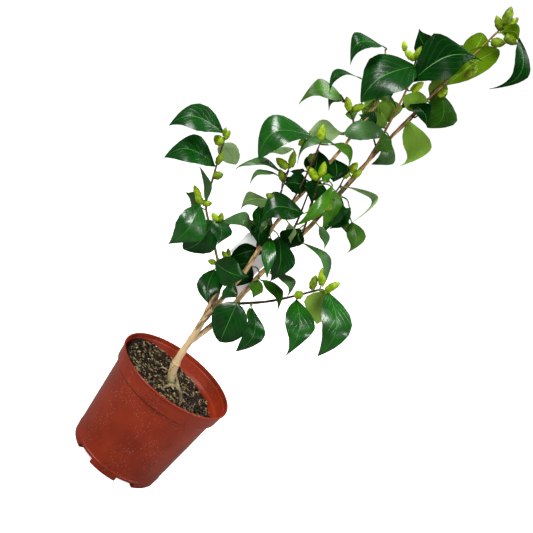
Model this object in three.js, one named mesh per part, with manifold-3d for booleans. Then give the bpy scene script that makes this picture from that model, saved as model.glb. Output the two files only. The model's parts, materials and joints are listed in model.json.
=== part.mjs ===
// A young camellia shrub in its round nursery pot, in millimetres, +Z up.
// The origin is the centre of the pot's flat underside. +X is the plant's right
// and -Y its front. The shrub leans a little and carries its leaves in loose sprays.

import * as THREE from 'three';
import { mergeVertices } from 'three/addons/utils/BufferGeometryUtils.js';
import Module from 'manifold-3d';

// Clearance between pieces that touch, and between a mass of leaves and the limb in it.
const GAP = 0.3;

// Pot: a thin injection-moulded 19 cm nursery pot.
const POT_HEIGHT = 167;
const RIM_RADIUS = 95;
const RIM_LIP_HEIGHT = 2.6;
const MOUTH_RADIUS = 92.4;
const LIP_DEPTH = 7;
const COLLAR_HEIGHT = 24.6;
const COLLAR_FOOT_RADIUS = 91.2;
const COLLAR_INNER_RADIUS = 89.4;
const WALL_TOP_RADIUS = 87.4;
const FOOT_RADIUS = 75;
const FOOT_RING_HEIGHT = 13;
const FOOT_RING_REACH = 1.3;
const FOOT_RING_STEP = 0.8;
const EDGE = 0.8;
const WALL = 1.8;
const FLOOR = 2.4;
const POT_SIDES = 32;

// Drain channels under the floor: wedges that open through the foot of the wall.
const CHANNEL_COUNT = 6;
const CHANNEL_HALF_ANGLE = 12;
const CHANNEL_START = 30;
const CHANNEL_HEIGHT = 8;
const ROOF_EXTRA_ANGLE = 2;
const DRAIN_HOLE_RADIUS = 4.5;
const DRAIN_HOLE_AT = 52;
const DRAIN_HOLE_SIDES = 6;

// Compost: it slopes down to the right and to the back, with a flat seat for the trunk.
const SOIL_LEVEL = 145;
const SOIL_FALL_X = 0.15;
const SOIL_FALL_Y = 0.04;
const SOIL_LUMP = 1.6;
const SOIL_SEAT = 147;
const SOIL_SEAT_RADIUS = 17;
const SOIL_EDGE_DROP = 2.5;
const SOIL_SHOULDER = 12;

// Trunk foot: where it stands on the compost.
const FOOT_X = -2;
const FOOT_Y = 1;
const FLARE = 5.5;
const FLARE_HEIGHT = 11;
const ROOTS = [
  { bearing: -52, reach: 44 },
  { bearing: -148, reach: 30 },
  { bearing: 28, reach: 26 },
  { bearing: 140, reach: 24 },
];
const ROOT_RADIUS = 4.2;
const ROOT_TIP_RADIUS = 1.6;
const ROOT_RISE = 12;

// Facets of the limbs, and how uneven the masses of leaves are.
const STEM_SIDES = 6;
const BOUGH_SIDES = 5;
const ROOT_SIDES = 5;
const MASS_DETAIL = 2;
const SMALL_MASS_DETAIL = 1;
const SMALL_MASS = 31;
const MASS_REACH = 1.1;
const MASS_LUMP = 0.36;

// Plant label: a blank card that hangs behind the right stem, with its narrow tail.
const CARD_WIDTH = 52;
const CARD_HEIGHT = 42;
const CARD_CORNER = 4;
const CARD_THICKNESS = 0.6;
const CARD_LEAN = 8;
const CARD_AT = [-24, 25.3, 381];
const TAIL_WIDTH = 11;
const TAIL_LENGTH = 44;

const limb = (name, [foot, tip], steps, via) => ({ name, radii: [foot, tip], steps, via });
const mass = (name, at, half) => ({ name, at, half });

// Limbs: radius at foot and tip, and the centre line through a few points. A stem or
// bough starts inside the limb that bears it, and is cut back to that limb's bark.
const TRUNK = limb('trunk', [7.6, 4.1], 9, [
  [-2, 1, 140], [-3, 1, 152], [-8, 1, 163], [-13, 0, 182],
  [-17, 0, 230], [-20, -1, 262], [-31, -8, 312],
]);
const STEMS = [
  limb('stem_right', [4.5, 1.2], 10, [
    [-16, 1, 219], [-9, 8, 241], [0, 18, 283], [6, 22, 371],
    [19, 22, 467], [25, 17, 576], [37, 4, 702], [55, -6, 838],
  ]),
  limb('stem_middle', [4, 1.2], 9, [
    [-19, -1, 250], [-17, -6, 296], [-15, -13, 364], [-22, -20, 448],
    [-14, -18, 572], [-17, -7, 679], [-49, -8, 728],
  ]),
];
const BOUGHS = [
  limb('bough_left', [2.4, 1.3], 7, [
    [-17, -6, 284], [-33, -12, 326], [-83, -23, 378],
    [-116, -26, 408], [-132, -27, 448], [-150, -27, 498],
  ]),
  limb('bough_low_right', [2, 1.3], 4, [[0, 20, 303], [40, 0, 347], [75, -20, 398], [84, -25, 412]]),
  limb('bough_left_centre', [1.8, 1.2], 3, [[-18, -16, 405], [-36, -30, 467], [-52, -42, 523]]),
  limb('bough_centre', [1.9, 1.2], 3, [[-21, -20, 465], [-25, -30, 508], [-41, -45, 581]]),
  limb('bough_front', [1.8, 1.2], 3, [[18, 22, 450], [5, -14, 492], [-9, -40, 532]]),
  limb('bough_upper_left', [1.6, 1.1], 3, [[-14, -13, 618], [-33, -16, 634], [-60, -18, 645]]),
  limb('bough_top', [2, 1.2], 5, [[26, 16, 592], [19, 1, 641], [6, -20, 706], [-8, -31, 742]]),
  limb('bough_back_low', [2, 1.3], 3, [[4, 22, 340], [8, 46, 366], [8, 66, 398]]),
  limb('bough_back_left', [2, 1.3], 3, [[-18, -16, 398], [-38, 16, 420], [-58, 46, 444]]),
  limb('bough_back_mid', [2, 1.3], 3, [[11, 22, 408], [0, 52, 456], [-14, 72, 500]]),
  limb('bough_back_high', [1.9, 1.2], 3, [[23, 21, 515], [28, 44, 566], [27, 60, 612]]),
  limb('bough_back_top', [1.7, 1.2], 3, [[32, 11, 645], [38, 32, 682], [38, 46, 710]]),
];

// Masses of leaves: the centre, and half the width, depth and height.
const MASSES = [
  mass('foliage_left_top', [-171, -27, 472], [55, 31, 49]),
  mass('foliage_left_under', [-135, -20, 428], [22, 20, 24]),
  mass('foliage_left_mid', [-117, -32, 376], [28, 30, 48]),
  mass('foliage_left_inner', [-72, -25, 398], [32, 25, 26]),
  mass('foliage_low_left', [-39, -24, 350], [29, 36, 55]),
  mass('foliage_low_front', [20, -6, 294], [38, 32, 40]),
  mass('foliage_low_right', [101, -28, 373], [43, 33, 67]),
  mass('foliage_right_arm', [46, 14, 440], [38, 26, 24]),
  mass('foliage_heart', [19, -12, 390], [39, 38, 46]),
  mass('foliage_centre', [-3, -42, 480], [42, 32, 52]),
  mass('foliage_left_centre', [-74, -40, 492], [40, 33, 46]),
  mass('foliage_left_high', [-78, -46, 564], [42, 34, 46]),
  mass('foliage_centre_high', [-8, -44, 566], [34, 32, 33]),
  mass('foliage_centre_back', [-10, 20, 538], [35, 32, 34]),
  mass('foliage_right_mid', [49, 13, 524], [39, 32, 49]),
  mass('foliage_upper_mid', [3, -18, 623], [34, 30, 24]),
  mass('foliage_right_upper', [55, 8, 650], [28, 30, 32]),
  mass('foliage_right_high', [62, 8, 703], [26, 26, 22]),
  mass('foliage_upper_left', [-69, -16, 641], [31, 29, 40]),
  mass('foliage_top_left', [-65, -10, 711], [30, 26, 28]),
  mass('foliage_top_front', [-26, -29, 698], [27, 30, 42]),
  mass('foliage_top_right', [18, -34, 754], [45, 32, 40]),
  mass('foliage_crown_right', [56, 4, 778], [26, 28, 38]),
  mass('foliage_tip', [82, -8, 823], [44, 30, 48]),
  mass('foliage_upper_back', [17, 14, 686], [27, 28, 30]),
  mass('foliage_back_low', [8, 74, 402], [45, 38, 46]),
  mass('foliage_back_left', [-62, 60, 432], [38, 34, 42]),
  mass('foliage_back_mid', [-18, 80, 508], [46, 36, 46]),
  mass('foliage_back_high', [27, 68, 620], [42, 34, 46]),
  mass('foliage_back_top', [38, 58, 722], [31, 26, 36]),
];

const wasm = await Module();
wasm.setup();

const material = (color, roughness) => new THREE.MeshStandardMaterial({ color, roughness, metalness: 0 });
const POT_PLASTIC = material(0x9e3a22, 0.45);
const COMPOST = material(0x3a2c20, 0.95);
const BARK = material(0xb89a68, 0.85);
const TWIG_BARK = material(0x7a523c, 0.8);
const LEAF = material(0x1f5a1c, 0.35);
const BLANK_CARD = material(0xe4e6df, 0.5);

const radians = (degrees) => THREE.MathUtils.degToRad(degrees);

// A closed geometry as a solid that can be joined and cut.
function solidOf(geometry) {
  const bare = geometry.clone();
  bare.deleteAttribute('normal');
  bare.deleteAttribute('uv');
  const merged = mergeVertices(bare, 1e-4);
  return new wasm.Manifold(new wasm.Mesh({
    numProp: 3,
    vertProperties: Float32Array.from(merged.attributes.position.array),
    triVerts: Uint32Array.from(merged.index.array),
  }));
}

// A solid as a geometry for a mesh.
function geometryOf(solid) {
  const mesh = solid.getMesh();
  const geometry = new THREE.BufferGeometry();
  geometry.setAttribute('position', new THREE.BufferAttribute(mesh.vertProperties, 3));
  geometry.setIndex(new THREE.BufferAttribute(mesh.triVerts, 1));
  geometry.computeVertexNormals();
  return geometry;
}

function boxesMeet(a, b) {
  const p = a.boundingBox();
  const q = b.boundingBox();
  return [0, 1, 2].every((k) => p.min[k] < q.max[k] && q.min[k] < p.max[k]);
}

// A solid cut by each cutter near it. A crumb that a cut leaves loose is dropped.
function cutBy(solid, cutters) {
  const near = cutters.filter((cutter) => boxesMeet(solid, cutter));
  const cut = near.reduce((rest, cutter) => rest.subtract(cutter), solid);
  const bodies = cut.decompose();
  return bodies.sort((a, b) => b.volume() - a.volume())[0];
}

// Pot

function outerWall() {
  const ringRadius = FOOT_RADIUS + FOOT_RING_REACH;
  return [
    [FOOT_RADIUS - EDGE, 0],
    [FOOT_RADIUS, EDGE],
    [ringRadius, FOOT_RING_HEIGHT - EDGE],
    [ringRadius - FOOT_RING_STEP, FOOT_RING_HEIGHT],
    [WALL_TOP_RADIUS, POT_HEIGHT - COLLAR_HEIGHT - 1.2],
    [COLLAR_FOOT_RADIUS, POT_HEIGHT - COLLAR_HEIGHT],
    [RIM_RADIUS - 2 * EDGE, POT_HEIGHT - RIM_LIP_HEIGHT - EDGE],
    [RIM_RADIUS, POT_HEIGHT - RIM_LIP_HEIGHT],
    [RIM_RADIUS - EDGE / 2, POT_HEIGHT],
  ];
}

function innerWall() {
  return [
    [MOUTH_RADIUS, POT_HEIGHT],
    [MOUTH_RADIUS - EDGE, POT_HEIGHT - LIP_DEPTH],
    [COLLAR_INNER_RADIUS + EDGE, POT_HEIGHT - LIP_DEPTH - EDGE],
    [COLLAR_INNER_RADIUS, POT_HEIGHT - COLLAR_HEIGHT + EDGE],
    [WALL_TOP_RADIUS - WALL, POT_HEIGHT - COLLAR_HEIGHT - WALL],
    [FOOT_RADIUS - WALL, FLOOR],
  ];
}

function lathe(points) {
  const profile = points.map(([radius, z]) => new THREE.Vector2(radius, z));
  return new THREE.LatheGeometry(profile, POT_SIDES).rotateX(Math.PI / 2);
}

// A flat wedge between two radii, standing on the given level.
function wedge(start, end, halfAngle, bottom, height, bearing) {
  const spread = Math.tan(radians(halfAngle));
  const shape = new THREE.Shape();
  shape.moveTo(start, -start * spread);
  shape.lineTo(end, -end * spread);
  shape.lineTo(end, end * spread);
  shape.lineTo(start, start * spread);
  const geometry = new THREE.ExtrudeGeometry(shape, { depth: height, bevelEnabled: false });
  return solidOf(geometry.translate(0, 0, bottom).rotateZ(radians(bearing)));
}

const channelBearings = Array.from({ length: CHANNEL_COUNT }, (_, k) => (360 * k) / CHANNEL_COUNT);

function drainHole(bearing) {
  const height = 2 * CHANNEL_HEIGHT;
  const radius = DRAIN_HOLE_RADIUS;
  const geometry = new THREE.CylinderGeometry(radius, radius, height, DRAIN_HOLE_SIDES);
  geometry.rotateX(Math.PI / 2).translate(DRAIN_HOLE_AT, 0, CHANNEL_HEIGHT);
  return solidOf(geometry.rotateZ(radians(bearing)));
}

// The wedge that roofs a channel, wider and deeper than it by the given margin.
function channelRoof(bearing, margin) {
  const height = CHANNEL_HEIGHT + WALL + margin;
  const halfAngle = CHANNEL_HALF_ANGLE + ROOF_EXTRA_ANGLE + 2 * margin;
  return wedge(CHANNEL_START - WALL - 3 * margin, RIM_RADIUS, halfAngle, 0, height, bearing);
}

function potSolid() {
  const above = POT_HEIGHT + 1;
  const envelope = solidOf(lathe([[0, 0], ...outerWall(), [0, POT_HEIGHT]]));
  const wall = innerWall().reverse();
  const hollow = solidOf(lathe([[0, FLOOR], ...wall, [MOUTH_RADIUS, above], [0, above]]));
  let pot = envelope.subtract(hollow);
  for (const bearing of channelBearings) {
    const roof = channelRoof(bearing, 0).intersect(envelope);
    const channel = wedge(CHANNEL_START, RIM_RADIUS, CHANNEL_HALF_ANGLE, -1, CHANNEL_HEIGHT + 1, bearing);
    pot = pot.add(roof).subtract(channel).subtract(drainHole(bearing));
  }
  return pot;
}

// Compost

function soilLevel(x, y) {
  const slope = SOIL_LEVEL - SOIL_FALL_X * x - SOIL_FALL_Y * y;
  const lump = SOIL_LUMP * Math.sin(0.11 * x + 1.3) * Math.cos(0.13 * y - 0.4);
  const reach = Math.hypot(x - FOOT_X, y - FOOT_Y) / SOIL_SEAT_RADIUS;
  const blend = THREE.MathUtils.smoothstep(reach, 1, 1.9);
  return THREE.MathUtils.lerp(SOIL_SEAT, slope + lump, blend);
}

function soilSolid() {
  const wall = FOOT_RADIUS - WALL - GAP;
  const top = WALL_TOP_RADIUS - WALL - GAP;
  const rings = [1, 0.8, 0.5, 0.25];
  const side = [[0, FLOOR + GAP], [wall, FLOOR + GAP], [top - EDGE, SOIL_LEVEL - SOIL_SHOULDER]];
  const surface = rings.map((share) => [share * (top - EDGE / 2), SOIL_LEVEL]);
  const geometry = lathe([...side, ...surface, [0, SOIL_LEVEL]]);
  const position = geometry.attributes.position;
  for (let i = 0; i < position.count; i += 1) {
    if (position.getZ(i) > SOIL_LEVEL - 1) {
      const x = position.getX(i);
      const y = position.getY(i);
      const edge = Math.hypot(x, y) > 0.95 * top ? SOIL_EDGE_DROP : 0;
      position.setZ(i, soilLevel(x, y) - edge);
    }
  }
  return cutBy(solidOf(geometry), channelBearings.map((bearing) => channelRoof(bearing, GAP)));
}

// Limbs

// A tapering limb: a closed cylinder bent along the curve through its points. The
// same limb with grow added all round cuts the pieces that fit against it.
function limbSolid({ via, radii, steps, sides = BOUGH_SIDES, flare = 0 }, grow = 0) {
  const points = via.map((xyz) => new THREE.Vector3(...xyz));
  const curve = new THREE.CatmullRomCurve3(points, false, 'centripetal');
  const geometry = new THREE.CylinderGeometry(1, 1, 1, sides, steps);
  const position = geometry.attributes.position;
  const across = new THREE.Vector3();
  const side = new THREE.Vector3();
  const point = new THREE.Vector3();
  for (let i = 0; i < position.count; i += 1) {
    const t = THREE.MathUtils.clamp(position.getY(i) + 0.5, 0, 1);
    const centre = curve.getPointAt(t);
    const along = curve.getTangentAt(t);
    across.set(0, 1, 0).addScaledVector(along, -along.y).normalize();
    side.crossVectors(across, along);
    const spread = flare * Math.exp(-Math.max(0, centre.z - SOIL_SEAT) / FLARE_HEIGHT);
    const radius = THREE.MathUtils.lerp(radii[0], radii[1], t) + spread + grow;
    const end = t === 0 ? -grow : t === 1 ? grow : 0;
    point.copy(centre).addScaledVector(along, end);
    point.addScaledVector(across, radius * position.getX(i));
    point.addScaledVector(side, radius * position.getZ(i));
    position.setXYZ(i, point.x, point.y, point.z);
  }
  return solidOf(geometry);
}

// A root that arches out of the trunk's foot and goes into the compost.
function surfaceRoot({ bearing, reach }) {
  const x = reach * Math.cos(radians(bearing));
  const y = reach * Math.sin(radians(bearing));
  const at = (share, z) => [FOOT_X + share * x, FOOT_Y + share * y, z];
  return {
    via: [
      at(-0.1, SOIL_SEAT + ROOT_RISE),
      at(0.35, SOIL_SEAT + ROOT_RISE / 2),
      at(0.7, SOIL_SEAT + 1),
      at(1, SOIL_LEVEL - ROOT_RISE / 2),
    ],
    radii: [ROOT_RADIUS, ROOT_TIP_RADIUS],
    sides: ROOT_SIDES,
    steps: 3,
  };
}

function trunkSolid(soil, grow = 0) {
  const stock = limbSolid({ ...TRUNK, sides: STEM_SIDES, flare: FLARE }, grow);
  const roots = ROOTS.map((root) => limbSolid(surfaceRoot(root), grow));
  const whole = roots.reduce((trunk, root) => trunk.add(root), stock);
  return cutBy(whole, [soil.translate([0, 0, GAP])]);
}

// Masses of leaves

// An uneven closed mass: a ball whose radius swells and dips by two waves of its own,
// scaled to its half sizes.
function massSolid({ at, half: halves }, seed, grow = 0) {
  const detail = Math.min(...halves) < SMALL_MASS ? SMALL_MASS_DETAIL : MASS_DETAIL;
  const geometry = new THREE.IcosahedronGeometry(1, detail);
  const position = geometry.attributes.position;
  const half = new THREE.Vector3(...halves);
  const way = new THREE.Vector3();
  for (let i = 0; i < position.count; i += 1) {
    way.fromBufferAttribute(position, i).normalize();
    const wave = Math.sin(5.1 * way.x + 1.7 * seed) * Math.cos(4.3 * way.y + 2.3 * seed);
    const swell = Math.sin(4.7 * way.z + 2.9 * way.x - 1.8 * way.y + 0.9 * seed);
    const reach = MASS_REACH - (MASS_LUMP / 4) * (2 + wave + swell);
    way.multiplyScalar(reach).multiply(half).addScaledVector(way.clone().normalize(), grow);
    position.setXYZ(i, at[0] + way.x, at[1] + way.y, at[2] + way.z);
  }
  return solidOf(geometry);
}

// Plant label

function labelGeometry() {
  const w = CARD_WIDTH / 2;
  const h = CARD_HEIGHT / 2;
  const c = CARD_CORNER;
  const shape = new THREE.Shape();
  shape.moveTo(-w, h - c);
  shape.quadraticCurveTo(-w, h, c - w, h);
  shape.lineTo(w - c, h);
  shape.quadraticCurveTo(w, h, w, h - c);
  shape.lineTo(w, -h);
  shape.lineTo(w + TAIL_WIDTH, -h - TAIL_LENGTH);
  shape.lineTo(w, -h - TAIL_LENGTH);
  shape.lineTo(w - 2 * TAIL_WIDTH, -h);
  shape.lineTo(c - w, -h);
  shape.quadraticCurveTo(-w, -h, -w, c - h);
  const options = { depth: CARD_THICKNESS, bevelEnabled: false, curveSegments: 3 };
  return new THREE.ExtrudeGeometry(shape, options).rotateX(Math.PI / 2);
}

function labelMesh() {
  const label = new THREE.Mesh(labelGeometry(), BLANK_CARD);
  label.name = 'label';
  label.position.set(...CARD_AT);
  label.rotation.y = radians(CARD_LEAN);
  return label;
}

// Assembly

const group = new THREE.Group();

function place(name, solid, finish) {
  const mesh = new THREE.Mesh(geometryOf(solid), finish);
  mesh.name = name;
  group.add(mesh);
}

const soil = soilSolid();
place('pot', potSolid(), POT_PLASTIC);
place('soil', soil, COMPOST);
place('trunk', trunkSolid(soil), BARK);

// Each cutter is a placed limb or mass with the gap added all round.
const limbCutters = [trunkSolid(soil, GAP)];
const stems = STEMS.map((stem) => ({ ...stem, sides: STEM_SIDES, finish: BARK }));
const boughs = BOUGHS.map((bough) => ({ ...bough, finish: TWIG_BARK }));
for (const branch of [...stems, ...boughs]) {
  place(branch.name, cutBy(limbSolid(branch), limbCutters), branch.finish);
  limbCutters.push(limbSolid(branch, GAP));
}

const label = labelMesh();
group.add(label);
label.updateMatrixWorld();
const roomHeight = CARD_HEIGHT + 2 * TAIL_LENGTH;
const cardRoom = new THREE.BoxGeometry(CARD_WIDTH + 4, 2, roomHeight + 4).applyMatrix4(label.matrixWorld);

const massCutters = [...limbCutters, solidOf(cardRoom)];
MASSES.forEach((spray, k) => {
  place(spray.name, cutBy(massSolid(spray, k), massCutters), LEAF);
  massCutters.push(massSolid(spray, k, GAP));
});

export default group;
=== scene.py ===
"""Camellia shrub in a terracotta-red nursery pot, finished over its CAD frame.

Metres, +Z up, the origin at the centre of the pot's underside, +X the plant's right
and -Y its front. The trunk, stems and boughs follow the CAD's centre lines. The leaves
and buds that the photograph shows are placed one by one through the fitted camera, and
a seeded rule grows the hidden ones on from the limbs.
"""
from __future__ import annotations

import json
import logging
import math
import random
from dataclasses import dataclass, field
from enum import Enum

import bmesh
import bpy
import numpy as np
from mathutils import Matrix, Vector, noise

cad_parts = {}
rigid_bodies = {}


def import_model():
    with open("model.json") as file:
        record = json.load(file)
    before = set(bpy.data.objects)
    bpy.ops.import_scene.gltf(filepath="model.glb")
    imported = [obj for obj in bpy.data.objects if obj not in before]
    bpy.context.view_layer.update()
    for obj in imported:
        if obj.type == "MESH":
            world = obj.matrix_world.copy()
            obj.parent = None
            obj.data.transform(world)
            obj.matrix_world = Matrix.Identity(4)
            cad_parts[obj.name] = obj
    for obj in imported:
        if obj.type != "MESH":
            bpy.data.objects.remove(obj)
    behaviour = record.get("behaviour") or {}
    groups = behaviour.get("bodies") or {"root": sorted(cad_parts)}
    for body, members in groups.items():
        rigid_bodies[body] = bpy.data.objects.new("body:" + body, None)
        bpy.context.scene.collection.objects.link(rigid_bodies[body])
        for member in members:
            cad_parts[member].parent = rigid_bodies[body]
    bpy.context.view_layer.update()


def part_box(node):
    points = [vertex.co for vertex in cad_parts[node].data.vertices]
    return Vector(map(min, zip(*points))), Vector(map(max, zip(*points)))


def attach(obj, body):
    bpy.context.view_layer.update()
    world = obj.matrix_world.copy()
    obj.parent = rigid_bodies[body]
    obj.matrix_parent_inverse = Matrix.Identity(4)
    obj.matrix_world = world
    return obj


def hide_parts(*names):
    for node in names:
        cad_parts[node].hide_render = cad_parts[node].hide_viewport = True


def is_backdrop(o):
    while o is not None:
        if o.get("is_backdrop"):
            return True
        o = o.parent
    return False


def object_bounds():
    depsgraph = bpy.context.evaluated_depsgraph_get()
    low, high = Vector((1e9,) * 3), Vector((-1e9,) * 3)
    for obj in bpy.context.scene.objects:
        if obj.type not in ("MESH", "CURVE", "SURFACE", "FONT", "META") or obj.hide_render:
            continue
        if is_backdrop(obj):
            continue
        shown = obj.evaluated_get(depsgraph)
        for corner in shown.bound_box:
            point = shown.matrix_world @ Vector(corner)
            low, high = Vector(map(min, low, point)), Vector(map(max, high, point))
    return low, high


LOG = logging.getLogger("camellia")
MM = 0.001
SEED = 11
Tree = bpy.types.NodeTree
Socket = bpy.types.NodeSocket
Mesh = bpy.types.Mesh
# How far the compost falls for each millimetre to the right and to the back.
FALL_X = 0.15
FALL_Y = 0.04
# The trunk's foot in millimetres: its place in X and Y, and the compost's height there.
FOOT = (-2.0, 1.0)
SEAT = 147.0


def linear(hex_colour: str) -> tuple[float, float, float, float]:
    """Turn an sRGB hex colour into linear RGBA.

    Args:
        hex_colour: six hex digits.

    Returns:
        The linear red, green and blue, and an alpha of 1.
    """
    parts = [int(hex_colour[k:k + 2], 16) / 255 for k in (0, 2, 4)]
    curve = [c / 12.92 if c <= 0.04045 else ((c + 0.055) / 1.055) ** 2.4 for c in parts]
    return (*curve, 1.0)


def feed(tree: Tree, value, socket: Socket) -> None:
    """Link an output socket to an input socket, or set the input to a plain value.

    Args:
        tree: the node tree.
        value: the output socket or the value.
        socket: the input socket.
    """
    if isinstance(value, Socket):
        tree.links.new(value, socket)
    else:
        socket.default_value = value


def add(tree: Tree, kind: str, inputs: dict | None = None, **settings) -> bpy.types.Node:
    """Add a node with its settings, socket values and links.

    Args:
        tree: the node tree.
        kind: the node's type name.
        inputs: socket name or index to a value, or to an output socket to link.
        settings: the node's own properties.

    Returns:
        The new node.
    """
    made = tree.nodes.new(kind)
    for key, value in settings.items():
        setattr(made, key, value)
    for key, value in (inputs or {}).items():
        feed(tree, value, made.inputs[key])
    return made


class Skin:
    """A material in the making: its node tree, its shader and its object coordinates."""

    def __init__(self, name: str, roughness: float, specular: float = 0.5) -> None:
        """Start the material.

        Args:
            name: the material's name.
            roughness: the shader's roughness.
            specular: the shader's specular level.
        """
        self.material = bpy.data.materials.new(name)
        self.material.use_nodes = True
        self.tree = self.material.node_tree
        self.shader = self.tree.nodes["Principled BSDF"]
        self.put("Roughness", roughness)
        self.put("Specular IOR Level", specular)
        self.place = self.node("ShaderNodeTexCoord").outputs["Object"]

    def put(self, name: str, value) -> None:
        """Feed the shader's input of that name."""
        feed(self.tree, value, self.shader.inputs[name])

    def node(self, kind: str, inputs: dict | None = None, **settings) -> bpy.types.Node:
        """Add a node to the material, as add does."""
        return add(self.tree, kind, inputs, **settings)

    def noise(self, scale: float, detail: float, place: Socket | None = None) -> Socket:
        """Make fractal noise.

        Args:
            scale: the lumps in a metre.
            detail: the number of finer layers.
            place: the coordinates, if not the object's own.

        Returns:
            The noise, about 0.5 on the average.
        """
        where = self.place if place is None else place
        return self.node("ShaderNodeTexNoise", {"Vector": where, "Scale": scale, "Detail": detail}).outputs[0]

    def upright(self, share: float) -> Socket:
        """Return the coordinates with Z scaled down, in which patterns run long in Z."""
        return self.node("ShaderNodeMapping", {"Vector": self.place, "Scale": (1.0, 1.0, share)}).outputs[0]

    def split(self, vector: Socket) -> bpy.types.NodeOutputs:
        """Return a vector's X, Y and Z."""
        return self.node("ShaderNodeSeparateXYZ", {0: vector}).outputs

    def maths(self, operation: str, *values) -> Socket:
        """Return the result of a math operation on sockets or numbers."""
        return self.node("ShaderNodeMath", dict(enumerate(values)), operation=operation).outputs[0]

    def mix(self, factor: Socket, first, second) -> Socket:
        """Blend two colours.

        Args:
            factor: the socket that blends.
            first: the colour at 0, a socket or hex digits.
            second: the colour at 1, a socket or hex digits.

        Returns:
            The blended colour.
        """
        low, high = (linear(colour) if isinstance(colour, str) else colour for colour in (first, second))
        return self.node("ShaderNodeMix", {0: factor, 6: low, 7: high}, data_type="RGBA").outputs[2]

    def ramp(self, value: Socket, low: float, high: float, top: float = 1.0, bottom: float = 0.0) -> Socket:
        """Map a value from low..high to bottom..top, clamped.

        Args:
            value: the socket to map.
            low: the value that gives the bottom.
            high: the value that gives the top.
            top: the result at high.
            bottom: the result at low.

        Returns:
            The mapped value.
        """
        return self.node("ShaderNodeMapRange", {0: value, 1: low, 2: high, 3: bottom, 4: top}).outputs[0]

    def done(self, colour: Socket, height: Socket | None = None, strength: float = 0.0,
             depth: float = 0.0) -> bpy.types.Material:
        """Give the shader its colour and its relief.

        Args:
            colour: the base colour.
            height: the relief's height, if it has relief.
            strength: the relief's strength.
            depth: the relief's depth in metres.

        Returns:
            The finished material.
        """
        self.put("Base Color", colour)
        if height is not None:
            bump = self.node("ShaderNodeBump", {"Height": height, "Strength": strength, "Distance": depth})
            self.put("Normal", bump.outputs[0])
        return self.material


@dataclass(frozen=True)
class MouldedPolypropylene:
    """Terracotta-red polypropylene, injection moulded: an even satin skin, dusty from the nursery."""

    name: str = "terracotta_polypropylene_moulded"
    body: str = "8E2C12"
    deep: str = "78220A"
    dust: str = "C88C78"
    speck_mm: float = 1.4
    clean: float = 0.4
    dusty: float = 0.75

    def build(self) -> bpy.types.Material:
        """Return the material: cloudy red, compost dust in specks and thin vertical scuffs."""
        skin = Skin(self.name, self.clean, 0.25)
        body = skin.mix(skin.ramp(skin.noise(22.0, 4.0), 0.35, 0.65), self.body, self.deep)
        cells = skin.node("ShaderNodeTexVoronoi", {"Vector": skin.place, "Scale": 500 / self.speck_mm})
        specks = skin.ramp(cells.outputs[0], 0.26, 0.1, 0.6)
        patches = skin.ramp(skin.noise(30.0, 2.0), 0.44, 0.58)
        scuffs = skin.ramp(skin.noise(240.0, 5.0, skin.upright(0.12)), 0.66, 0.8, 0.2)
        dust = skin.maths("MAXIMUM", skin.maths("MULTIPLY", specks, patches), scuffs)
        skin.put("Roughness", skin.ramp(dust, 0.0, 0.8, self.dusty, self.clean))
        return skin.done(skin.mix(dust, body, self.dust), skin.noise(160.0, 3.0), 0.25, 0.0006)


@dataclass(frozen=True)
class MoistCompost:
    """Moist peat compost: dark, crumbly and dull, with browner bits."""

    name: str = "peat_compost_moist"
    dark: str = "0A0604"
    brown: str = "2C1E14"
    crumb_mm: float = 4.0

    def build(self) -> bpy.types.Material:
        """Return the material: crumbs of two browns with deep relief."""
        skin = Skin(self.name, 0.92, 0.25)
        crumb = skin.noise(1000 / self.crumb_mm, 6.0)
        return skin.done(skin.mix(skin.ramp(crumb, 0.4, 0.68), self.dark, self.brown), crumb, 0.9, 0.002)


@dataclass(frozen=True)
class Bark:
    """Young camellia bark: smooth, tan below and red-brown above, with fine long fissures."""

    name: str = "camellia_bark"
    tan: str = "D8B98E"
    fissure: str = "6E5838"
    orange: str = "CA9C68"
    red: str = "AC7E50"
    moss: str = "8C8A62"
    wet: str = "423E2C"
    fissure_mm: float = 1.6

    def build(self) -> bpy.types.Material:
        """Return the material: colour by height in metres over the floor, with streaked relief."""
        skin = Skin(self.name, 0.7, 0.35)
        streak = skin.noise(500 / self.fissure_mm, 6.0, skin.upright(0.16))
        height = skin.split(skin.place)[2]
        # The height where each colour starts, the height where it is full, its share and the colour.
        bands = ((0.27, 0.47, 1.0, self.orange), (0.5, 0.74, 1.0, self.red), (0.174, 0.156, 0.7, self.moss))
        wood = self.tan
        for start, full, share, colour in bands:
            wood = skin.mix(skin.ramp(height, start, full, share), wood, colour)
        # The wet foot, the marks up the stem and the crease under the knob follow the streaks.
        damp = skin.maths("ADD", skin.ramp(height, 0.158, 0.149), streak)
        wood = skin.mix(skin.ramp(damp, 0.8, 1.5, 0.95), wood, self.wet)
        marked = skin.maths("ADD", skin.ramp(height, 0.21, 0.25, 0.08), streak)
        wood = skin.mix(skin.ramp(marked, 0.57, 0.62, 0.8), wood, self.fissure)
        crease = skin.maths("MULTIPLY", skin.ramp(height, 0.1815, 0.1785), skin.ramp(height, 0.1745, 0.1775))
        crease = skin.maths("MULTIPLY", crease, streak)
        wood = skin.mix(skin.ramp(crease, 0.4, 0.55, 0.8), wood, self.fissure)
        return skin.done(wood, streak, 0.7, 0.0012)


@dataclass(frozen=True)
class PlainGrowth:
    """Small living or dead matter of two near colours: twig skin, petiole, bud scale, fibre, perlite."""

    name: str
    first: str
    second: str
    patch_mm: float = 3.0
    roughness: float = 0.5

    def build(self) -> bpy.types.Material:
        """Return the material: two near colours in small patches, with a fine bump."""
        skin = Skin(self.name, self.roughness, 0.25)
        patch = skin.noise(500 / self.patch_mm, 3.0)
        return skin.done(skin.mix(skin.ramp(patch, 0.38, 0.62), self.first, self.second), patch, 0.3, 0.0004)


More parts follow.
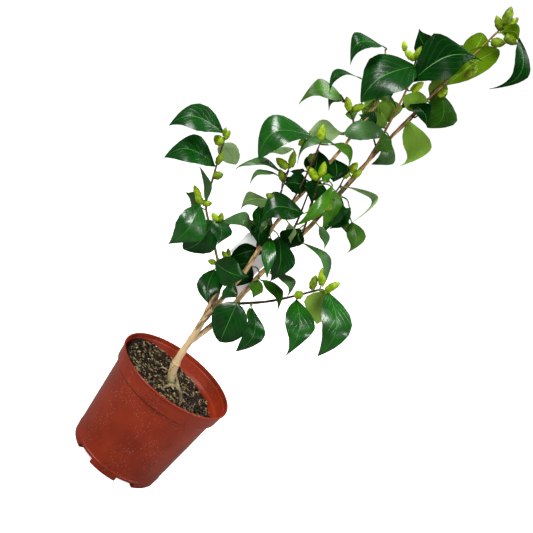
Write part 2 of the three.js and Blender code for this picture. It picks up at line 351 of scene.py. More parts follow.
@dataclass(frozen=True)
class LeafSkin:
    """A leathery camellia leaf's face: waxy and dark above, paler and duller beneath."""

    name: str
    colour: str
    second: str
    roughness: float
    specular: float
    vein: str = "3C7A2C"
    vein_mm: float = 11.0
    vein_slant: float = 0.75
    leaf_mm: float = 85.0
    relief: float = 0.0016

    def build(self) -> bpy.types.Material:
        """Return the material: cloudy green, with side veins sunk along the leaf's own UV map."""
        skin = Skin(self.name, self.roughness, self.specular)
        mixed = skin.mix(skin.ramp(skin.noise(45.0, 3.0), 0.38, 0.64), self.colour, self.second)
        across, along, _ = skin.split(skin.node("ShaderNodeUVMap", uv_map="blade").outputs[0])
        away = skin.maths("ABSOLUTE", skin.maths("SUBTRACT", across, 0.5))
        slant = skin.maths("MULTIPLY_ADD", away, -self.vein_slant, along)
        phase = skin.maths("MULTIPLY", slant, 2 * math.pi * self.leaf_mm / self.vein_mm)
        vein = skin.ramp(skin.maths("SINE", phase), 0.9, 1.0, 0.12)
        height = skin.maths("MULTIPLY_ADD", vein, -0.7, skin.noise(60.0, 2.0))
        return skin.done(skin.mix(vein, mixed, self.vein), height, 0.5, self.relief)


class Tone(Enum):
    """The shade of a leaf: two colours above and two beneath, then the upper face's roughness and shine."""

    # The colours beneath are the undersides' own paler green, lifted further as painted light shining through
    # the blade.
    INK = ("052E06", "032204", "4A6436", "566E40", 0.28, 0.035)
    DEEP = ("063C08", "042E05", "4C7A26", "5A8832", 0.24, 0.22)
    LIVE = ("0E5206", "084004", "4E821E", "5E9028", 0.24, 0.4)
    MID = ("224E02", "1A3E02", "84B43A", "90BE4A", 0.32, 0.1)
    FRESH = ("3C7406", "2E6004", "4E7002", "5A7C02", 0.25, 0.3)
    OLIVE = ("3A6410", "2C5210", "709434", "82A244", 0.34, 0.16)
    # GREY is partly the leaf's own grey-green and partly a painted sheen, the pale reflected light that lies
    # on some faces.
    GREY = ("3C642E", "2E5026", "98BC7A", "A6C888", 0.34, 0.3)


class Bud(Enum):
    """The shade of a bud's scales: lime, olive, or lime with a brown tip."""

    LIME = ("9AB40E", "688C08")
    OLIVE = ("728C04", "4A6202")
    BROWN = ("7E9A0E", "587608")


class PhotoView:
    """The camera fitted to the pot's rim, collar and foot in the 533-pixel photograph."""

    def __init__(self) -> None:
        """Set the camera's place, axes and focal length in pixels."""
        elevation, roll = math.radians(14.0), math.radians(38.1)
        back = Vector((0, -math.cos(elevation), math.sin(elevation)))
        up = Vector((0, math.sin(elevation), math.cos(elevation)))
        right = Vector((1, 0, 0))
        self.size = 533.0
        self.focal = 855.0
        self.eye = Vector((0.0053, -1.2100, 0.6875))
        self.across = math.cos(roll) * right + math.sin(roll) * up
        self.upward = -math.sin(roll) * right + math.cos(roll) * up
        self.back = back

    def ray(self, x: float, y: float) -> Vector:
        """Return the way from the eye through a pixel, given from the left and the top edge."""
        half = self.size / 2
        return self.across * (x - half) - self.upward * (y - half) - self.back * self.focal

    def at(self, x: float, y: float, depth: float) -> Vector:
        """Find the point seen at a pixel.

        Args:
            x: pixels from the left edge.
            y: pixels from the top edge.
            depth: the point's Y in millimetres.

        Returns:
            The point in metres.
        """
        ray = self.ray(x, y)
        return self.eye + ray * ((depth * MM - self.eye.y) / ray.y)

    def on_compost(self, x: float, y: float, level: float) -> Vector:
        """Find the point seen at a pixel on the compost's slope.

        Args:
            x: pixels from the left edge.
            y: pixels from the top edge.
            level: the slope's height at the pot's axis in millimetres.

        Returns:
            The point in metres.
        """
        ray = self.ray(x, y)
        slope = Vector((FALL_X, FALL_Y, 1.0))
        return self.eye + ray * ((level * MM - self.eye.dot(slope)) / ray.dot(slope))

    def seen(self, points: np.ndarray) -> np.ndarray:
        """Project points to pixels.

        Args:
            points: an array of points in metres, one a row.

        Returns:
            The pixel x and y of each, one pair a row.
        """
        away = points - np.array(self.eye)
        depth = -(away @ np.array(self.back))
        x = self.size / 2 + self.focal * (away @ np.array(self.across)) / depth
        y = self.size / 2 - self.focal * (away @ np.array(self.upward)) / depth
        return np.stack([x, y], axis=1)

    def build(self) -> None:
        """Make the camera and set it as the scene's."""
        data = bpy.data.cameras.new("photo_camera")
        data.sensor_width = 36.0
        data.lens = data.sensor_width * self.focal / self.size
        camera = linked("photo_camera", data)
        axes = Matrix((self.across, self.upward, self.back)).transposed()
        camera.matrix_world = Matrix.Translation(self.eye) @ axes.to_4x4()
        bpy.context.scene.camera = camera


def linked(name: str, data: bpy.types.ID) -> bpy.types.Object:
    """Put a new object of some data in the scene."""
    made = bpy.data.objects.new(name, data)
    bpy.context.collection.objects.link(made)
    return made


def placed(mesh: Mesh, name: str, nodes: list[str], finishes: list) -> bpy.types.Object:
    """Put a finished mesh in the scene as a piece of the shrub.

    Args:
        mesh: the mesh, with its place in its points.
        name: the piece's name.
        nodes: the CAD nodes that the piece stands for.
        finishes: the materials, in the order of the mesh's slots.

    Returns:
        The piece's object.
    """
    piece = linked(name, mesh)
    for finish in finishes:
        mesh.materials.append(finish)
    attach(piece, "root")
    if nodes:
        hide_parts(*nodes)
    LOG.info("%s: %d faces", name, len(mesh.polygons))
    return piece


def evaluated(holder: bpy.types.Object) -> Mesh:
    """Return an object's mesh with its modifiers applied, and remove the object."""
    mesh = bpy.data.meshes.new_from_object(holder.evaluated_get(bpy.context.evaluated_depsgraph_get()))
    bpy.data.objects.remove(holder)
    return mesh


def smoothed(mesh: Mesh, degrees: float) -> Mesh:
    """Shade a mesh smooth but for edges over an angle, and return it."""
    mesh.shade_smooth()
    mesh.set_sharp_from_angle(angle=math.radians(degrees))
    return mesh


def meet(t: float, low: float, high: float, first: np.ndarray, second: np.ndarray) -> np.ndarray:
    """Return the point at t on the straight way from first, at low, to second, at high."""
    return (high - t) / (high - low) * first + (t - low) / (high - low) * second


def smooth_line(points: list, count: int) -> np.ndarray:
    """Run a centripetal Catmull-Rom curve through points, as the CAD's limbs do.

    Args:
        points: the points that the curve passes.
        count: how many points to return.

    Returns:
        Points at equal distances along the curve, one a row.
    """
    p = np.array(points, float)
    p = np.vstack([2 * p[0] - p[1], p, 2 * p[-1] - p[-2]])
    knots = np.concatenate([[0], np.cumsum(np.linalg.norm(np.diff(p, axis=0), axis=1) ** 0.5)])
    line = []
    for k in range(1, len(p) - 2):
        for t in np.linspace(knots[k], knots[k + 1], 24, endpoint=False):
            three = [meet(t, knots[j], knots[j + 1], p[j], p[j + 1]) for j in (k - 1, k, k + 1)]
            two = [meet(t, knots[k - 1 + j], knots[k + 1 + j], three[j], three[j + 1]) for j in (0, 1)]
            line.append(meet(t, knots[k], knots[k + 1], *two))
    line.append(p[-2])
    line = np.array(line)
    run = np.concatenate([[0], np.cumsum(np.linalg.norm(np.diff(line, axis=0), axis=1))])
    even = np.linspace(0, run[-1], count)
    return np.stack([np.interp(even, run, line[:, k]) for k in range(3)], axis=1)


def tubes(name: str, lines: list[tuple[np.ndarray, np.ndarray]], roundness: int) -> Mesh:
    """Make one mesh of round tubes along lines.

    Args:
        name: the mesh's name.
        lines: pairs of points and of the radius at each, in metres.
        roundness: the bevel resolution of each tube.

    Returns:
        The joined mesh, with closed ends.
    """
    data = bpy.data.curves.new(name, "CURVE")
    data.dimensions = "3D"
    data.bevel_depth = 1.0
    data.bevel_resolution = roundness
    data.use_fill_caps = True
    for points, radii in lines:
        spline = data.splines.new("POLY")
        spline.points.add(len(points) - 1)
        spline.points.foreach_set("co", np.column_stack([points, np.ones(len(points))]).ravel())
        spline.points.foreach_set("radius", np.asarray(radii, float))
    mesh = evaluated(linked(name, data))
    bpy.data.curves.remove(data)
    mesh.name = name
    return mesh


def spun(points: list[tuple[float, float]], steps: int) -> bmesh.types.BMesh:
    """Spin a line round the Z axis.

    Args:
        points: radius and height of each point in millimetres, in order.
        steps: the steps of the turn.

    Returns:
        The bmesh of the spun surface.
    """
    bm = bmesh.new()
    verts = [bm.verts.new((radius * MM, 0, z * MM)) for radius, z in points]
    line = verts + [bm.edges.new(pair) for pair in zip(verts, verts[1:])]
    turn = {"cent": (0, 0, 0), "axis": (0, 0, 1), "angle": 2 * math.pi, "use_merge": True}
    bmesh.ops.spin(bm, geom=line, steps=steps, **turn)
    bmesh.ops.remove_doubles(bm, verts=bm.verts, dist=1e-6)
    return bm


def from_bmesh(bm: bmesh.types.BMesh, name: str) -> Mesh:
    """Turn a bmesh into a mesh with its faces outward, and free the bmesh."""
    bmesh.ops.recalc_face_normals(bm, faces=bm.faces)
    mesh = bpy.data.meshes.new(name)
    bm.to_mesh(mesh)
    bm.free()
    return mesh


@dataclass
class NurseryPot:
    """The moulded pot: rim bead, collar, tapered wall, foot ring and drain channels."""

    height: float = 167.0
    rim_radius: float = 95.0
    foot_radius: float = 75.0
    steps: int = 144
    channel_count: int = 6
    channel_start: float = 30.0
    channel_half_angle: float = 12.0
    channel_height: float = 8.0
    drain_at: float = 52.0
    drain_radius: float = 4.5
    floor: float = 9.8
    finish: MouldedPolypropylene = field(default_factory=MouldedPolypropylene)

    def profile(self) -> list[tuple[float, float]]:
        """Return the wall's section as radius and height, from the axis below to the axis above."""
        foot, top, rim = self.foot_radius, self.height, self.rim_radius
        ring = [(0, 0), (foot - 1, 0), (foot - 0.3, 0.3), (foot, 1), (foot + 1.1, 11.8), (foot + 1.3, 12.6)]
        wall = [(foot + 0.7, 13.3), (87.2, 140.6), (87.9, 141.3), (90.6, 142.0), (91.3, 142.8)]
        bead = [(93.3, 161.6), (93.4, 162.9), (94.2, 163.3), (rim - 0.2, 164.0), (rim, 164.9), (rim, 166.1)]
        lip = [(rim - 0.5, top - 0.25), (rim - 1.3, top), (93.0, top - 0.1), (92.4, top - 0.8), (91.7, 160.4)]
        inside = [(90.7, 159.6), (90.3, 158.8), (89.5, 143.6), (88.9, 142.6), (86.6, 141.0), (85.7, 139.6)]
        return ring + wall + bead + lip + inside + [(foot - 1.2, self.floor), (0, self.floor)]

    def cutter(self) -> bpy.types.Object:
        """Return an object of the channel wedges and drain holes that are cut out of the foot."""
        bm = bmesh.new()
        spread = math.tan(math.radians(self.channel_half_angle))
        hole = {"radius1": self.drain_radius * MM, "radius2": self.drain_radius * MM, "depth": 8 * MM}
        for k in range(self.channel_count):
            turn = Matrix.Rotation(2 * math.pi * k / self.channel_count, 4, "Z")
            corners = []
            for radius in (self.channel_start, self.rim_radius):
                for side in (-1, 1):
                    for z in (-4.0, self.channel_height):
                        corner = Vector((radius, side * radius * spread, z)) * MM
                        corners.append(bm.verts.new(turn @ corner))
            bmesh.ops.convex_hull(bm, input=corners)
            centre = turn @ Matrix.Translation((self.drain_at * MM, 0, self.floor * MM))
            bmesh.ops.create_cone(bm, cap_ends=True, segments=20, matrix=centre, **hole)
        return linked("channels", smoothed(from_bmesh(bm, "channels"), 35))

    def build(self) -> None:
        """Spin the section, cut the channels and put the pot in the scene."""
        whole = linked("pot_whole", smoothed(from_bmesh(spun(self.profile(), self.steps), "pot_whole"), 35))
        cutter = self.cutter()
        cut = whole.modifiers.new("channels", "BOOLEAN")
        cut.object = cutter
        cut.operation = "DIFFERENCE"
        cut.solver = "EXACT"
        mesh = smoothed(evaluated(whole), 28)
        mesh.materials.clear()
        bpy.data.objects.remove(cutter)
        placed(mesh, "pot_shell", ["pot"], [self.finish.build()])


@dataclass(frozen=True)
class Litter:
    """One kind of small angular bits that lie on the compost.

    The radii low and high, and lift, the height above the surface, are in millimetres.
    flat is a bit's height and longest its greatest length, as shares of the radius.
    """

    name: str
    finish: PlainGrowth
    count: int
    low: float
    high: float
    flat: float
    longest: float
    lift: float


LITTER = (
    Litter("compost_crumbs", PlainGrowth("peat_crumb_moist", "0E0805", "2A1D13", 4.0, 0.92),
           1500, 1.2, 5.0, 0.9, 1.6, 0.0),
    Litter("dry_crumbs", PlainGrowth("peat_crumb_dry", "4E3E2C", "84704E", 4.0, 0.92),
           1500, 0.7, 2.6, 0.7, 1.9, 1.5),
    Litter("perlite_grains", PlainGrowth("perlite_expanded", "F2F0EA", "DAD4C6", 4.0, 0.92),
           6, 1.0, 2.0, 0.8, 1.4, 1.8),
    Litter("bark_chips", PlainGrowth("bark_chip_composted", "A89C6A", "787046", 4.0, 0.92),
           300, 0.9, 2.4, 0.4, 3.6, 2.2),
)


@dataclass
class Compost:
    """The compost: its uneven surface, crumbs, perlite, bark chips and dry fibres.

    Heights, radii and sizes are in millimetres. The surface has lumps, falls away at the
    edge and clings to the wall about one bearing, which is in degrees.
    """

    level: float = 145.0
    lump: float = 1.6
    rough: float = 2.25
    rough_size: float = 10.0
    seat_radius: float = 17.0
    seat_blend: float = 0.9
    radius: float = 84.9
    edge_from: float = 70.0
    edge_width: float = 15.0
    edge_sink: float = 1.2
    cling: float = 9.0
    cling_bearing: float = 140.0
    skirt_height: float = 112.0
    skirt_share: float = 0.97
    rings: int = 56
    steps: int = 150
    fibres: int = 170

    def height(self, x: float, y: float) -> float:
        """Find the surface's height.

        Args:
            x: millimetres to the right.
            y: millimetres to the back.

        Returns:
            The height in millimetres, as the CAD has it, with smaller lumps on top.
        """
        slope = self.level - FALL_X * x - FALL_Y * y
        slope += self.lump * math.sin(0.11 * x + 1.3) * math.cos(0.13 * y - 0.4)
        reach = math.hypot(x - FOOT[0], y - FOOT[1]) / self.seat_radius
        share = min(max((reach - 1) / self.seat_blend, 0), 1)
        share = share * share * (3 - 2 * share)
        smooth = SEAT + (slope - SEAT) * share
        spot = Vector((x / self.rough_size, y / self.rough_size, 3.1))
        lumps = self.rough * noise.fractal(spot, 0.8, 2.1, 5)
        edge = max(0.0, (math.hypot(x, y) - self.edge_from) / self.edge_width)
        towards = max(0.0, math.cos(math.atan2(y, x) - math.radians(self.cling_bearing)))
        cling = self.cling * edge * max(0.0, -x / (self.edge_from + self.edge_width)) * towards
        return smooth + lumps - self.edge_sink * edge * edge + cling

    def on_surface(self, rng: random.Random) -> Vector:
        """Pick a random point on the surface.

        Args:
            rng: the random source.

        Returns:
            The point in metres.
        """
        far = (self.radius - 4) * math.sqrt(rng.random())
        bearing = rng.uniform(0, 2 * math.pi)
        x, y = far * math.cos(bearing), far * math.sin(bearing)
        return Vector((x, y, self.height(x, y))) * MM

    def surface(self) -> Mesh:
        """Spin a line of points to a disc, lift it to the surface and give it a skirt."""
        bm = spun([(self.radius * k / self.rings, 0.0) for k in range(self.rings + 1)], self.steps)
        for vert in bm.verts:
            vert.co.z = self.height(vert.co.x / MM, vert.co.y / MM) * MM
        rim = [edge for edge in bm.edges if edge.is_boundary]
        skirt = bmesh.ops.extrude_edge_only(bm, edges=rim)["geom"]
        lower = [v for v in skirt if isinstance(v, bmesh.types.BMVert)]
        for vert in lower:
            vert.co.z = self.skirt_height * MM
            vert.co.x *= self.skirt_share
            vert.co.y *= self.skirt_share
        bmesh.ops.contextual_create(bm, geom=lower)
        return smoothed(from_bmesh(bm, "compost_surface"), 35)

    def bits(self, kind: Litter, rng: random.Random) -> Mesh:
        """Scatter one kind of litter over the surface.

        Args:
            kind: the kind of litter.
            rng: the random source.

        Returns:
            The joined mesh.
        """
        bm = bmesh.new()
        for _ in range(kind.count):
            size = rng.triangular(kind.low, kind.high, kind.low) * MM
            turn = Matrix.Rotation(rng.uniform(0, 6.28), 4, "Z")
            turn = turn @ Matrix.Rotation(rng.uniform(-0.9, 0.9), 4, "X")
            length, width = size * rng.uniform(0.8, kind.longest), size * rng.uniform(0.5, 1.0)
            shape = Matrix.Diagonal((length, width, size * kind.flat, 1.0))
            rise = Vector((0, 0, size * kind.flat * 0.4 + kind.lift * MM))
            spot = Matrix.Translation(self.on_surface(rng) + rise)
            made = bmesh.ops.create_icosphere(bm, subdivisions=1, radius=1.0, matrix=spot @ turn @ shape)
            for vert in made["verts"]:
                vert.co += Vector([rng.uniform(-1, 1) for _ in range(3)]) * size * 0.22
        return from_bmesh(bm, kind.name)

    def strands(self, rng: random.Random) -> Mesh:
        """Lay dry fibres on the compost.

        Args:
            rng: the random source.

        Returns:
            The joined mesh.
        """
        lines = []
        for _ in range(self.fibres):
            start = self.on_surface(rng)
            bearing, bend = rng.uniform(0, 6.28), rng.uniform(-0.5, 0.5)
            points = []
            for _ in range(7):
                points.append(start.copy())
                bearing += bend
                start += Vector((math.cos(bearing), math.sin(bearing), 0)) * rng.uniform(1.2, 3.4) * MM
                if math.hypot(start.x, start.y) > (self.radius - 3) * MM:
                    start -= Vector((start.x, start.y, 0)).normalized() * 4 * MM
                start.z = (self.height(start.x / MM, start.y / MM) + rng.uniform(0.3, 1.6)) * MM
            lines.append((smooth_line(points, 14), np.linspace(0.55, 0.2, 14) * rng.uniform(0.6, 1.3) * MM))
        return tubes("dry_fibres", lines, 1)

    def build(self) -> None:
        """Build the surface and everything that lies on it."""
        rng = random.Random(SEED)
        placed(self.surface(), "compost_surface", ["soil"], [MoistCompost().build()])
        for kind in LITTER:
            placed(self.bits(kind, rng), kind.name, [], [kind.finish.build()])
        straw = PlainGrowth("dry_fibre", "A89E66", "7C7248", 6.0, 0.8).build()
        placed(self.strands(rng), "dry_fibres", [], [straw])


@dataclass
class Limb:
    """One limb: the CAD node's name, the radius at foot and tip and the centre line, in millimetres."""

    name: str
    foot: float
    tip: float
    via: list

    def line(self, count: int) -> np.ndarray:
        """Return the centre line in metres, one point a row."""
        return smooth_line(self.via, count) * MM


LIMBS = [
    Limb("trunk", 7.6, 4.1, [
        (-2, 1, 140), (-3, 1, 152), (-8, 1, 163), (-13, 0, 182), (-17, 0, 230), (-20, -1, 262),
        (-31, -8, 312)]),
    Limb("stem_right", 4.5, 1.2, [
        (-16, 1, 219), (-9, 8, 241), (0, 18, 283), (6, 22, 371), (19, 22, 467), (25, 17, 576), (37, 4, 702),
        (55, -6, 838)]),
    Limb("stem_middle", 4.0, 1.2, [
        (-19, -1, 250), (-17, -6, 296), (-15, -13, 364), (-22, -20, 448), (-14, -18, 572), (-17, -7, 679),
        (-49, -8, 728)]),
    Limb("bough_left", 2.4, 1.3, [
        (-17, -6, 284), (-33, -12, 326), (-83, -23, 378), (-116, -26, 408), (-132, -27, 448),
        (-150, -27, 498)]),
    Limb("bough_low_right", 2.3, 1.6, [(0, 20, 303), (40, 0, 347), (75, -20, 398), (84, -25, 412)]),
    Limb("bough_left_centre", 1.6, 0.9, [(-18, -16, 405), (-36, -30, 467), (-52, -42, 523)]),
    Limb("bough_centre", 1.5, 0.8, [(-21, -20, 465), (-25, -30, 508), (-41, -45, 581)]),
    Limb("bough_front", 1.8, 1.2, [(18, 22, 450), (5, -14, 492), (-9, -40, 532)]),
    Limb("bough_upper_left", 1.6, 1.1, [(-14, -13, 618), (-33, -16, 634), (-60, -18, 645)]),
    Limb("bough_top", 2.0, 1.2, [(26, 16, 592), (19, 1, 641), (6, -20, 706), (-8, -31, 742)]),
    Limb("bough_back_low", 2.0, 1.3, [(4, 22, 340), (8, 46, 366), (8, 66, 398)]),
    Limb("bough_back_left", 2.0, 1.3, [(-18, -16, 398), (-38, 16, 420), (-58, 46, 444)]),
    Limb("bough_back_mid", 2.0, 1.3, [(11, 22, 408), (0, 52, 456), (-14, 72, 500)]),
    Limb("bough_back_high", 1.9, 1.2, [(23, 21, 515), (28, 44, 566), (27, 60, 612)]),
    Limb("bough_back_top", 1.7, 1.2, [(32, 11, 645), (38, 32, 682), (38, 46, 710)]),
]


# Surface roots that show: pixels, height above the compost and radius in millimetres.
SHOWN_ROOTS = [
    [(174, 371, 12, 3.2), (175.5, 378, 7, 3.4), (177.5, 387, 4, 3.4), (180.3, 395, 2.5, 3.2),
     (179.5, 402, 1, 2.6), (178, 407, -3, 1.8)],
    [(158.5, 388.5, -2, 1.2), (164, 387.3, 1.5, 1.9), (170, 385.6, 3.5, 2.6), (175.5, 387.5, 4, 3.0),
     (179.5, 394, 3, 3.0)],
    [(168, 370.5, 5, 1.2), (163, 367.5, 3.5, 1.0), (158.5, 368.5, 0.5, 0.8)],
]


@dataclass
class Wood:
    """The trunk, stems and boughs with their bark's relief, and the twigs that grow from them.

    Heights, radii and spreads are in millimetres; slim, waist and knots are shares of the
    radius. A limb whose foot is thicker than stout gets bark, a thinner one twig bark.
    """

    flare: float = 0.4
    flare_height: float = 9.0
    slim: float = 0.88
    waist: float = 0.08
    waist_height: float = 12.0
    knob: float = 177.0
    knob_swell: float = 1.3
    knob_spread: float = 5.0
    knots: float = 0.10
    stout: float = 3.0
    stalk_radii: tuple[float, float] = (1.2, 0.85)
    roots: tuple = ((35, 24, 3.0),)
    lines: list = field(default_factory=list)
    twigs: list = field(default_factory=list)
    petioles: list = field(default_factory=list)

    def radii(self, limb: Limb, line: np.ndarray) -> np.ndarray:
        """Find a limb's radii.

        Args:
            limb: the limb.
            line: the points of its centre line in metres, one a row.

        Returns:
            The radius at each point in metres.
        """
        share = np.linspace(0, 1, len(line))
        radii = (limb.foot + (limb.tip - limb.foot) * share) * MM
        if limb.name == "trunk":
            rise = np.maximum(0, line[:, 2] - SEAT * MM)
            radii += self.flare * MM * np.exp(-rise / (self.flare_height * MM))
            radii *= self.slim - self.waist * np.exp(-rise / (self.waist_height * MM))
            off = (line[:, 2] - self.knob * MM) / (self.knob_spread * MM)
            radii += self.knob_swell * MM * np.exp(-off ** 2)
        knots = [noise.noise(Vector(p) * 70 + Vector((limb.foot, 0, 0))) for p in line]
        return radii * (1 + self.knots * np.array(knots))

    def root_lines(self) -> list:
        """Return the surface roots that arch out of the trunk's foot into the compost."""
        found = []
        for bearing, reach, radius in self.roots:
            x, y = reach * math.cos(math.radians(bearing)), reach * math.sin(math.radians(bearing))
            via = []
            for share, rise in ((-0.08, 9), (0.3, 3.5), (0.65, 0.4), (0.85, 0.8), (1.0, -6)):
                ground = SEAT - FALL_X * share * x - FALL_Y * share * y
                via.append((FOOT[0] + share * x, FOOT[1] + share * y, ground + rise))
            line = smooth_line(via, 24) * MM
            found.append((line, np.linspace(radius, radius * 0.4, 24) * MM))
        view = PhotoView()
        for root in SHOWN_ROOTS:
            via = [view.on_compost(x, y, SEAT + rise) for x, y, rise, _ in root]
            thick = np.interp(np.linspace(0, 1, 30), np.linspace(0, 1, len(root)), [row[3] for row in root])
            found.append((smooth_line([tuple(p) for p in via], 30), thick * MM))
        return found

    def relief(self, mesh: Mesh, depth: float) -> None:
        """Push a limb's points in and out along their normals, in long low ridges.

        Args:
            mesh: the limb's mesh.
            depth: the ridges' height in millimetres.
        """
        normals = [vert.normal.copy() for vert in mesh.vertices]
        for vert, normal in zip(mesh.vertices, normals):
            spot = Vector((vert.co.x * 420, vert.co.y * 420, vert.co.z * 75))
            vert.co += normal * depth * MM * noise.fractal(spot, 0.7, 2.0, 3)

    def build_limbs(self) -> None:
        """Build each limb as a mesh with relief, in place of its CAD node."""
        bark = Bark().build()
        brown = Bark("camellia_bark_young", "584034", "34241C", "4A3228", "4A3026", "5A4A38").build()
        side = Bark("camellia_bark_side", "97805A", "5A4630", "4C3428", "3E2820", "6E7048").build()
        cut = PlainGrowth("pruned_wood_dry", "D9C9A2", "B39A6C", 2.0, 0.8).build()
        own_skins = {"bough_top": bark, "bough_left": side}
        for limb in LIMBS:
            stout = limb.foot > self.stout
            count, roundness, ridge = (160, 5, 0.7) if stout else (60, 3, 0.25)
            line = limb.line(count)
            radii = self.radii(limb, line)
            self.lines.append((line, radii))
            parts = [(line, radii)] + (self.root_lines() if limb.name == "trunk" else [])
            mesh = tubes(f"{limb.name}_bark", parts, roundness)
            self.relief(mesh, ridge)
            skin = own_skins.get(limb.name, bark if stout else brown)
            placed(smoothed(mesh, 60), f"{limb.name}_bark", [limb.name], [skin, cut])
            if limb.name == "trunk":
                for face in mesh.polygons:
                    face.material_index = int(len(face.vertices) > 8 and face.center.z > 0.3)

    def nearest(self, point: Vector) -> tuple[Vector, Vector, float]:
        """Find the nearest point of any limb or twig.

        Args:
            point: the point to reach.

        Returns:
            The point on the limb, the limb's direction there and its distance.
        """
        best = (Vector(), Vector((0, 0, 1)), math.inf)
        target = np.array(point)
        for line, _ in self.lines:
            gap = np.linalg.norm(line - target, axis=1)
            k = int(gap.argmin())
            if gap[k] < best[2]:
                after, before = line[min(k + 1, len(line) - 1)], line[max(k - 1, 0)]
                best = (Vector(line[k]), Vector(after - before).normalized(), float(gap[k]))
        return best

    def twig(self, via: list[Vector], foot: float = 1.5, tip: float = 1.0) -> None:
        """Add a twig.

        Args:
            via: the points that it passes, in metres.
            foot: the radius at its foot in millimetres.
            tip: the radius at its tip in millimetres.
        """
        line = smooth_line([tuple(p) for p in via], 14)
        self.lines.append((line, np.linspace(foot, tip, 14) * MM))
        self.twigs.append(self.lines[-1])

    def hold(self, base: Vector, along: Vector, reach: float = 0.030) -> None:
        """Join a leaf or bud to the wood by its stalk, with a twig first where the wood is far.

        Args:
            base: the foot of the leaf or bud.
            along: the way it points.
            reach: the distance beyond which a twig is grown.
        """
        near, way, gap = self.nearest(base)
        stalk = min(0.009, 0.5 * gap)
        if gap > reach:
            end = base - along * stalk
            middle = near.lerp(end, 0.5) + way * 0.12 * gap + Vector((0, 0, 0.04 * gap))
            self.twig([near - way * 0.002, near + way * 0.1 * gap, middle, end])
            near = end
        bend = near.lerp(base, 0.6) - along * 0.2 * (base - near).length
        line = smooth_line([tuple(near), tuple(bend), tuple(base + along * 0.0015)], 7)
        self.petioles.append((line, np.linspace(*self.stalk_radii, 7) * MM))

    def build_twigs(self) -> None:
        """Build all twigs and all stalks, each kind as one mesh."""
        skin = PlainGrowth("twig_skin_young", "3E2820", "5C3C2C", 6.0, 0.6).build()
        green = PlainGrowth("petiole_skin", "4C6E22", "687C30", 4.0, 0.45).build()
        for name, lines, finish in (("twigs", self.twigs, skin), ("petioles", self.petioles, green)):
            mesh = tubes(name, lines, 2)
            mesh.shade_smooth()
            placed(mesh, name, [], [finish])


@dataclass
class Leaf:
    """One leaf, in metres: its base, tip and width, the way its upper face looks and its bends.

    arch and sweep are shares of its length, fold and twist are in radians, ripple is the
    height of its edge's waves, point is how drawn out its tip is, and peak above 1 puts
    its widest place past its middle.
    """

    base: Vector
    tip: Vector
    width: float
    normal: Vector
    arch: float
    sweep: float
    fold: float
    twist: float
    ripple: float
    point: float = 0.6
    peak: float = 0.88


